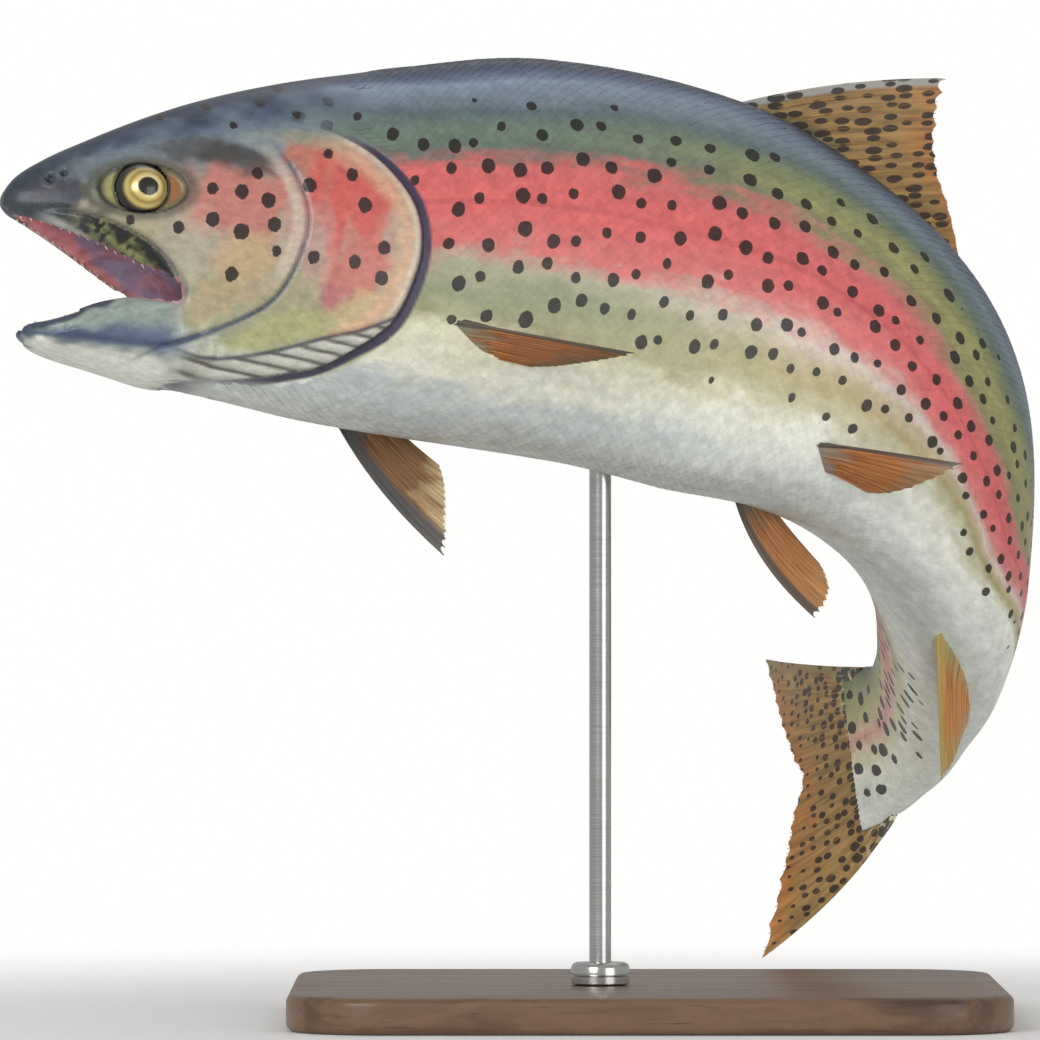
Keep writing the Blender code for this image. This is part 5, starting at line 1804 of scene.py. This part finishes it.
def make_web(name, grid, steps=26):
    """The closed web of a fin, ragged at its edge."""
    count = RAY_COUNTS[name]
    position = np.linspace(0, count - 1, (count - 1) * 6 + 1)
    u = np.clip(ray_place(count, position), 0, 1)
    u[0], u[-1] = 0.0, 1.0
    between_rays = np.abs(np.sin(math.pi * position))
    nicks = np.interp(position, np.arange(count), np.random.default_rng(len(name)).uniform(0, 1, count))
    edge = 1 - 0.022 * between_rays - 0.02 * nicks
    v = np.linspace(0, 1, steps)[None] * edge[:, None]
    uu = np.repeat(u[:, None], steps, axis=1)
    middle = between(grid, uu, v)
    normal = np.cross(np.gradient(middle, axis=0), np.gradient(middle, axis=1))
    normal = normal / np.maximum(np.linalg.norm(normal, axis=2, keepdims=True), 1e-12)
    normal[:, 0] = normal[:, 1]
    half = WEB_TIP + (WEB_ROOT - WEB_TIP) * (1 - smooth(0.02, 0.26, v)) * min(1.0, grid_length(grid) / 40)
    half = half + LEADING_EDGE * (1 - smooth(0, 0.05, uu)) * (1 - v)
    half = half * (1 - 0.35 * between_rays[:, None] * smooth(0.1, 0.3, v))
    offset = normal * half[..., None] * MM
    points = np.concatenate([(middle + offset).reshape(-1, 3), (middle - offset).reshape(-1, 3)])
    rows, other = len(u), uu.size
    faces = []
    for r in range(rows - 1):
        for a in range(r * steps, r * steps + steps - 1):
            b = a + other
            faces += [(a, a + steps, a + steps + 1, a + 1), (b, b + 1, b + steps + 1, b + steps)]
    number = np.arange(other).reshape(rows, steps)
    border = [*number[:, 0], *number[-1, 1:], *number[-2::-1, -1], *number[0, -2:0:-1]]
    faces += [(a, b, b + other, a + other) for a, b in zip(border, border[1:] + border[:1])]
    mesh = new_mesh(name, points, faces)
    store(mesh, "fin", np.tile(fin_places(grid, uu, v, count).reshape(-1, 3), (2, 1)))
    store(mesh, "flat", flat_places(grid, points))
    shade(mesh, 50)
    return face_outwards(place_mesh(f"{name}_web", mesh))


def grid_length(grid):
    """The longest ray of a fin, in mm."""
    return float(np.linalg.norm(grid[:, -1] - grid[:, 0], axis=1).max() / MM)


def fin_places(grid, u, v, count):
    """Ray number, share along the ray, and distance along it in mm."""
    ray_length = np.linalg.norm(grid[:, -1] - grid[:, 0], axis=1) / MM
    length = np.interp(u, np.linspace(0, 1, FIN_ACROSS), ray_length)
    return np.stack([u * (count - 1), v, v * length], axis=-1)


def flat_places(grid, points):
    """Each point's place in mm across and along the fin, laid flat."""
    along = unit((grid[:, -1] - grid[:, 0]).mean(axis=0))
    across = (grid[-1] - grid[0]).mean(axis=0)
    across = unit(across - along * (across @ along))
    away = (points - grid[0, 0]) / MM
    return np.stack([away @ across, away @ along, np.zeros(len(away))], axis=1)


# %% The rays of a fin
FORKS = (0.40, 0.68)  # where the rays split, as shares along them
RAY_RADIUS = 0.50
SOLID_RAYS = 2  # the leading rays do not fork


def ray_lines(name, grid):
    """The forking centre lines of a fin's rays: points, edges, radii and places on the fin."""
    count = RAY_COUNTS[name]
    points, edges, radii, places = [], [], [], []
    thick = RAY_RADIUS * min(1.0, 0.45 + grid_length(grid) / 110)

    def add_line(u, start, end, steps, stout, sideways=0.0, further=0.0):
        v = np.linspace(start, end, steps)
        u = u + sideways * smooth(FORKS[0], 1.0, v) + further * smooth(FORKS[1], 1.05, v)
        edges.extend((k, k + 1) for k in range(len(points), len(points) + steps - 1))
        points.extend(between(grid, u, v))
        places.extend(fin_places(grid, u, v, count))
        radii.extend(thick * stout * (1 - 0.72 * v))

    for k in range(count):
        u = float(ray_place(count, k))
        gap = float(ray_place(count, min(k + 1, count - 1)) - ray_place(count, max(k - 1, 0))) / 2
        if k < SOLID_RAYS:
            add_line(u, 0.0, 0.995, 14, 1.15)
            continue
        add_line(u, 0.0, FORKS[0], 8, 1.0)
        for first in (-0.25 * gap, 0.25 * gap):
            add_line(u, FORKS[0] - 0.01, FORKS[1], 6, 0.8, first)
            for second in (-0.12 * gap, 0.12 * gap):
                add_line(u, FORKS[1] - 0.01, 0.985, 6, 0.66, first, second)
    return points, edges, radii, places


def build_ray_tree():
    """Turns lines with a stored radius into closed tapered tubes."""
    group, (lines, sides, finish), outputs = new_group(
        "thicken_rays", {"Lines": "Geometry", "Sides": "Int", "Finish": "Material"}, {"Rays": "Geometry"},
        "GeometryNodeTree")
    outline = put(group, "GeometryNodeCurvePrimitiveCircle", {"Resolution": sides, "Radius": 1.0})
    radius = named(group, "thickness", "FLOAT")
    tube = {"Profile Curve": Wire(outline, "Curve"), "Scale": radius, "Fill Caps": True}
    join(outputs["Rays"], chain(
        group, lines,
        ("GeometryNodeMeshToCurve", "Mesh", {}),
        ("GeometryNodeCurveToMesh", "Curve", tube),
        ("GeometryNodeSetShadeSmooth", "Geometry", {}),
        ("GeometryNodeRealizeInstances", "Geometry", {}),
        ("GeometryNodeSetMaterial", "Geometry", {"Material": finish})))
    return group


RAY_TREE = build_ray_tree()


def make_rays(name, grid, material):
    """A fin's rays, as one mesh of tubes."""
    points, edges, radii, places = ray_lines(name, grid)
    lines = new_mesh("ray_lines", points, edges=edges)
    store(lines, "thickness", np.array(radii) * MM)
    store(lines, "fin", places)
    store(lines, "flat", flat_places(grid, np.array(points)))
    obj = place_mesh(f"{name}_rays", lines)
    obj.data = grow(obj, RAY_TREE, Sides=6, Finish=material)
    bpy.data.meshes.remove(lines)
    return obj


print("ray tree nodes:", len(RAY_TREE.nodes))

# %% [markdown]
# ## Fin finish
#
# Every fin is painted the same way with its own pigments: a root, a middle and an edge colour along the
# rays, fine streaks that follow them, a dark line on the leading edge, and on the dorsal and tail fins
# rows of short black dashes between the rays. So one function makes the finish from a few colours, and
# one group draws the dashes. The web is thin, so a little light scatters in it.

# %% Build the fin finishes
def build_dashes():
    """A group for dark dashes along the rays: a flat place, spacings, size and share in; a mask out."""
    group, (place, across, along, size, share), outputs = new_group(
        "fin_dashes",
        {"Place": "Vector", "Across": "Float", "Along": "Float", "Size": "Float", "Share": "Float"},
        {"Mask": "Float"})
    x, y, _ = parts(place)
    spaced = Wire(put(group, "ShaderNodeCombineXYZ", {"X": x / across, "Y": y / along}))
    cells = put(group, "ShaderNodeTexVoronoi", {"Vector": spaced, "Scale": 1.0, "Randomness": 0.6},
                voronoi_dimensions="2D")
    red, green, _ = parts(Wire(cells, "Color"), "Color")
    disc = soft_step(size * (red * 0.5 + 0.75) - Wire(cells, "Distance"), -0.03, 0.05)
    join(outputs["Mask"], disc * soft_step(share - green, -0.01, 0.01))
    return group


DASHES = build_dashes()


def make_fin_finish(name, root, middle, edge, lead, dash=None, lead_width=0.8, rays=False):
    """A fin's finish from its pigments; dash has its marks' two spacings, size, share and fading."""
    material, tree, shader = new_material(name)
    place = attribute(tree, "fin")
    x, y, _ = parts(place)
    streak = noise(stretch(place, (2.6, 0.0, 0.05)), 1.0, 4.0, 0.6)
    along = y + (noise(stretch(place, (0.35, 0.0, 0.09))) - 0.5) * 0.7
    colour = ramp(along, [(0.03, root), (0.3, middle), (0.72, middle), (0.97, edge)])
    colour = vector_math("SCALE", colour, remap(streak, 0.5, 1.38, 0.3, 0.7))
    colour = mix((1.0 - soft_step(x, lead_width * 0.55, lead_width)) * 0.9, colour, (*lead, 1))
    if dash:
        across, apart, size, share, fading = dash
        marks = use_group(tree, DASHES, Place=attribute(tree, "flat"), Across=across, Along=apart,
                          Size=calc("MULTIPLY", size, 1.0 - y * fading), Share=share)
        colour = mix(Wire(marks, "Mask") * (0.6 if rays else 0.92), colour, SPOT_BLACK)
    if rays:
        colour = mix(1.0, colour, (1.18, 1.1, 0.98, 1), "MULTIPLY")
    set_inputs(shader, Base_Color=colour, Roughness=0.4, Coat_Weight=0.2, Coat_Roughness=0.2,
               Specular_IOR_Level=0.3, Normal=bump(streak, 0.35, 0.0003), Subsurface_Weight=0.12,
               Subsurface_Scale=0.001)
    return material


BROWN, RUST, OLIVE = (0.20, 0.115, 0.045), (0.40, 0.155, 0.045), (0.17, 0.17, 0.095)
FIN_PIGMENTS = {  # root, middle, edge, leading edge, dashes, width of the leading edge in rays
    "dorsal_fin": (
        (0.14, 0.14, 0.06), (0.36, 0.225, 0.08), (0.46, 0.21, 0.065), (0.42, 0.43, 0.42),
        (2.8, 7.0, 0.39, 0.85, 0.2), 0.6,
    ),
    "adipose_fin": (
        OLIVE, (0.26, 0.24, 0.12), (0.3, 0.22, 0.1), (0.05, 0.05, 0.04), (3.0, 5.0, 0.25, 0.7, 0), 0.5,
    ),
    "anal_fin": ((0.45, 0.38, 0.14), (0.58, 0.25, 0.06), (0.52, 0.33, 0.09), (0.5, 0.38, 0.11), None, 1.2),
    "pectoral_fin_left": ((0.34, 0.3, 0.2), RUST, BROWN, (0.1, 0.095, 0.08), None, 0.9),
    "pectoral_fin_right": (
        (0.08, 0.07, 0.06), (0.24, 0.12, 0.045), (0.6, 0.46, 0.24), (0.07, 0.08, 0.09), None, 3.0,
    ),
    "pelvic_fin_left": ((0.34, 0.28, 0.22), RUST, (0.3, 0.18, 0.08), (0.09, 0.08, 0.07), None, 0.9),
    "pelvic_fin_right": (
        (0.24, 0.18, 0.12), (0.46, 0.2, 0.07), (0.52, 0.26, 0.1), (0.1, 0.09, 0.08), None, 1.5,
    ),
    "caudal_fin": (
        (0.76, 0.76, 0.48), (0.42, 0.27, 0.095), (0.52, 0.23, 0.065), (0.36, 0.25, 0.1),
        (3.2, 5.2, 0.54, 0.88, 0.72), 0.9,
    ),
}
FIN_PIECES = {}
for fin_name, pigments in FIN_PIGMENTS.items():
    surface = SURFACES[fin_name]
    web = make_web(fin_name, surface)
    web.data.materials.append(make_fin_finish(f"{fin_name}_web", *pigments))
    rays = make_rays(fin_name, surface, make_fin_finish(f"{fin_name}_rays", *pigments, rays=True))
    FIN_PIECES[fin_name] = (web, rays)
    print(fin_name, "web", len(web.data.polygons), "rays", len(rays.data.polygons))

# %% [markdown]
# ## The stand
#
# The fish hangs in the air on one steel rod, set in a collar on a small wooden base. The base's edge is
# rounded over, as a router leaves it, and its grain runs along its length. Real oiled walnut has dark
# streaks that bend round one another, so a stretched noise bends a wave. The rod is brushed round and
# round, so its fine scratches are rings.

# %% Walnut base
BASE_CORNER, BASE_ROUND = 0.026, 0.0022


def make_base():
    """The base: the frame's own block with a finely rounded edge."""
    low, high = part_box("stand_base")
    mesh = bpy.data.meshes.new("base_block")
    with shaping(mesh) as work:
        bmesh.ops.create_cube(work, size=1.0)
        bmesh.ops.scale(work, vec=high - low, verts=work.verts)
        bmesh.ops.translate(work, vec=(low + high) / 2, verts=work.verts)
        uprights = [edge for edge in work.edges if abs(edge.verts[0].co.z - edge.verts[1].co.z) > 1e-4]
        bmesh.ops.bevel(work, geom=uprights, offset=BASE_CORNER, segments=16, affect="EDGES", profile=0.5)
    base = face_outwards(place_mesh("stand_base_block", mesh))
    add_modifier(base, "BEVEL", width=BASE_ROUND, segments=5, angle_limit=math.radians(60))
    base.data = evaluated_mesh(base)
    shade(base.data, 30)
    return base


def make_walnut():
    """Oiled walnut with its grain along X."""
    material, tree, shader = new_material("walnut")
    place = object_place(tree)
    bend = vector_math("SCALE", noise(stretch(place, (5.0, 22.0, 22.0)), 5.0, 2.0, 0.5, "Color"), 0.9)
    figure = noise(vector_math("ADD", stretch(place, (3.0, 60.0, 60.0)), bend), 1.0, 5.0, 0.6)
    fibre = noise(stretch(place, (40.0, 1400.0, 1400.0)), 1.0, 3.0, 0.7)
    wood = ramp(figure, [(0.30, (0.045, 0.022, 0.012)), (0.48, (0.13, 0.066, 0.034)),
                         (0.58, (0.20, 0.11, 0.058)), (0.72, (0.10, 0.05, 0.026))])
    pores = soft_step(fibre, 0.60, 0.70)
    set_inputs(shader, Base_Color=mix(pores * 0.6, wood, (0.03, 0.015, 0.009, 1)), Coat_Weight=0.25,
               Roughness=remap(fibre, 0.3, 0.55), Coat_Roughness=0.25, Normal=bump(1.0 - pores, 0.2, 0.0002))
    return material


stand_base = make_base()
stand_base.data.materials.append(make_walnut())
print("base faces:", len(stand_base.data.polygons))

# %% Brushed steel rod and collar
def make_steel():
    """Steel brushed in rings round the rod."""
    material, tree, shader = new_material("brushed_steel")
    place = object_place(tree)
    rings = noise(stretch(place, (30.0, 30.0, 5200.0)), 1.0, 3.0, 0.7)
    smudge = noise(stretch(place, (60.0, 60.0, 25.0)))
    colour = ramp(rings, [(0.3, (0.47, 0.47, 0.46)), (0.7, (0.66, 0.66, 0.65))])
    set_inputs(shader, Base_Color=colour, Metallic=1.0, Roughness=rings * 0.2 + smudge * 0.2,
               Normal=bump(rings, 0.15, 0.00005))
    return material


STEEL = make_steel()


def turned(name, outline, sides=64):
    """A turned piece: an outline of (radius, height) in mm, spun round the rod's axis."""
    low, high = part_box("stand_rod")
    middle = (low + high) / 2
    angle = np.arange(sides) * 2 * math.pi / sides
    piece = loft(name, [
        np.stack([middle.x + radius * MM * np.cos(angle), middle.y + radius * MM * np.sin(angle),
                  np.full(sides, height * MM)], axis=1) for radius, height in outline])
    shade(piece.data, 35)
    piece.data.materials.append(STEEL)
    return piece


def make_steelwork():
    """A collar with a rounded shoulder and a fine groove, and the rod up into the belly."""
    (low, high), (rod_low, rod_high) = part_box("stand_collar"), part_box("stand_rod")
    bottom, top = low.z / MM, high.z / MM
    wide, thin = (high.x - low.x) / 2 / MM, (rod_high.x - rod_low.x) / 2 / MM
    collar = turned("stand_collar_turned", (
        (wide - 0.3, bottom), (wide, bottom + 0.3), (wide, bottom + 2.2), (wide - 0.35, bottom + 2.5),
        (wide, bottom + 2.8), (wide, top - 1.3), (wide - 0.4, top - 0.5), (wide - 1.2, top),
        (thin + 0.2, top),
    ))
    return collar, turned("stand_rod_turned", ((thin, top), (thin, rod_high.z / MM)))


stand_collar, stand_rod = make_steelwork()
print("steel pieces:", stand_collar.name, stand_rod.name)

# %% [markdown]
# ## Hand the pieces over
#
# Every piece rides on the model's one body, and the solids it stands for are hidden. The two boxes found
# at the end, and the difference printed between them, let anyone compare the size of this model with the
# size of its solid form.

# %% Ride and replace
def hand_over(piece, slot, *nodes):
    """A finished piece rides on the body and stands for its nodes, which are hidden; the slot is not used.
    """
    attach(piece, "root")
    if nodes:
        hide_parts(*nodes)


hand_over(skin, "skin", *FLESH_NODES)
for coat in coats:
    hand_over(coat, "skin", *FLESH_NODES)
for eye, eye_node in zip(eyes, ("eye_left", "eye_right")):
    hand_over(eye, "eye", eye_node)
hand_over(tongue, "mouth", "tongue")
hand_over(teeth, "jaw")
for fin_name, (web, rays) in FIN_PIECES.items():
    nodes = [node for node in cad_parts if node.startswith(fin_name)]
    hand_over(web, "fin", *nodes)
    hand_over(rays, "fin", *nodes)
hand_over(stand_base, "stand_wood", "stand_base")
hand_over(stand_collar, "stand_steel", "stand_collar")
hand_over(stand_rod, "stand_steel", "stand_rod")
VISUAL_BOX = [list(corner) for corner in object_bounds()]
grown = [[round((b - a) / MM, 1) for a, b in zip(*pair)] for pair in zip(CAD_BOX, VISUAL_BOX)]
print("grown by in mm:", grown)
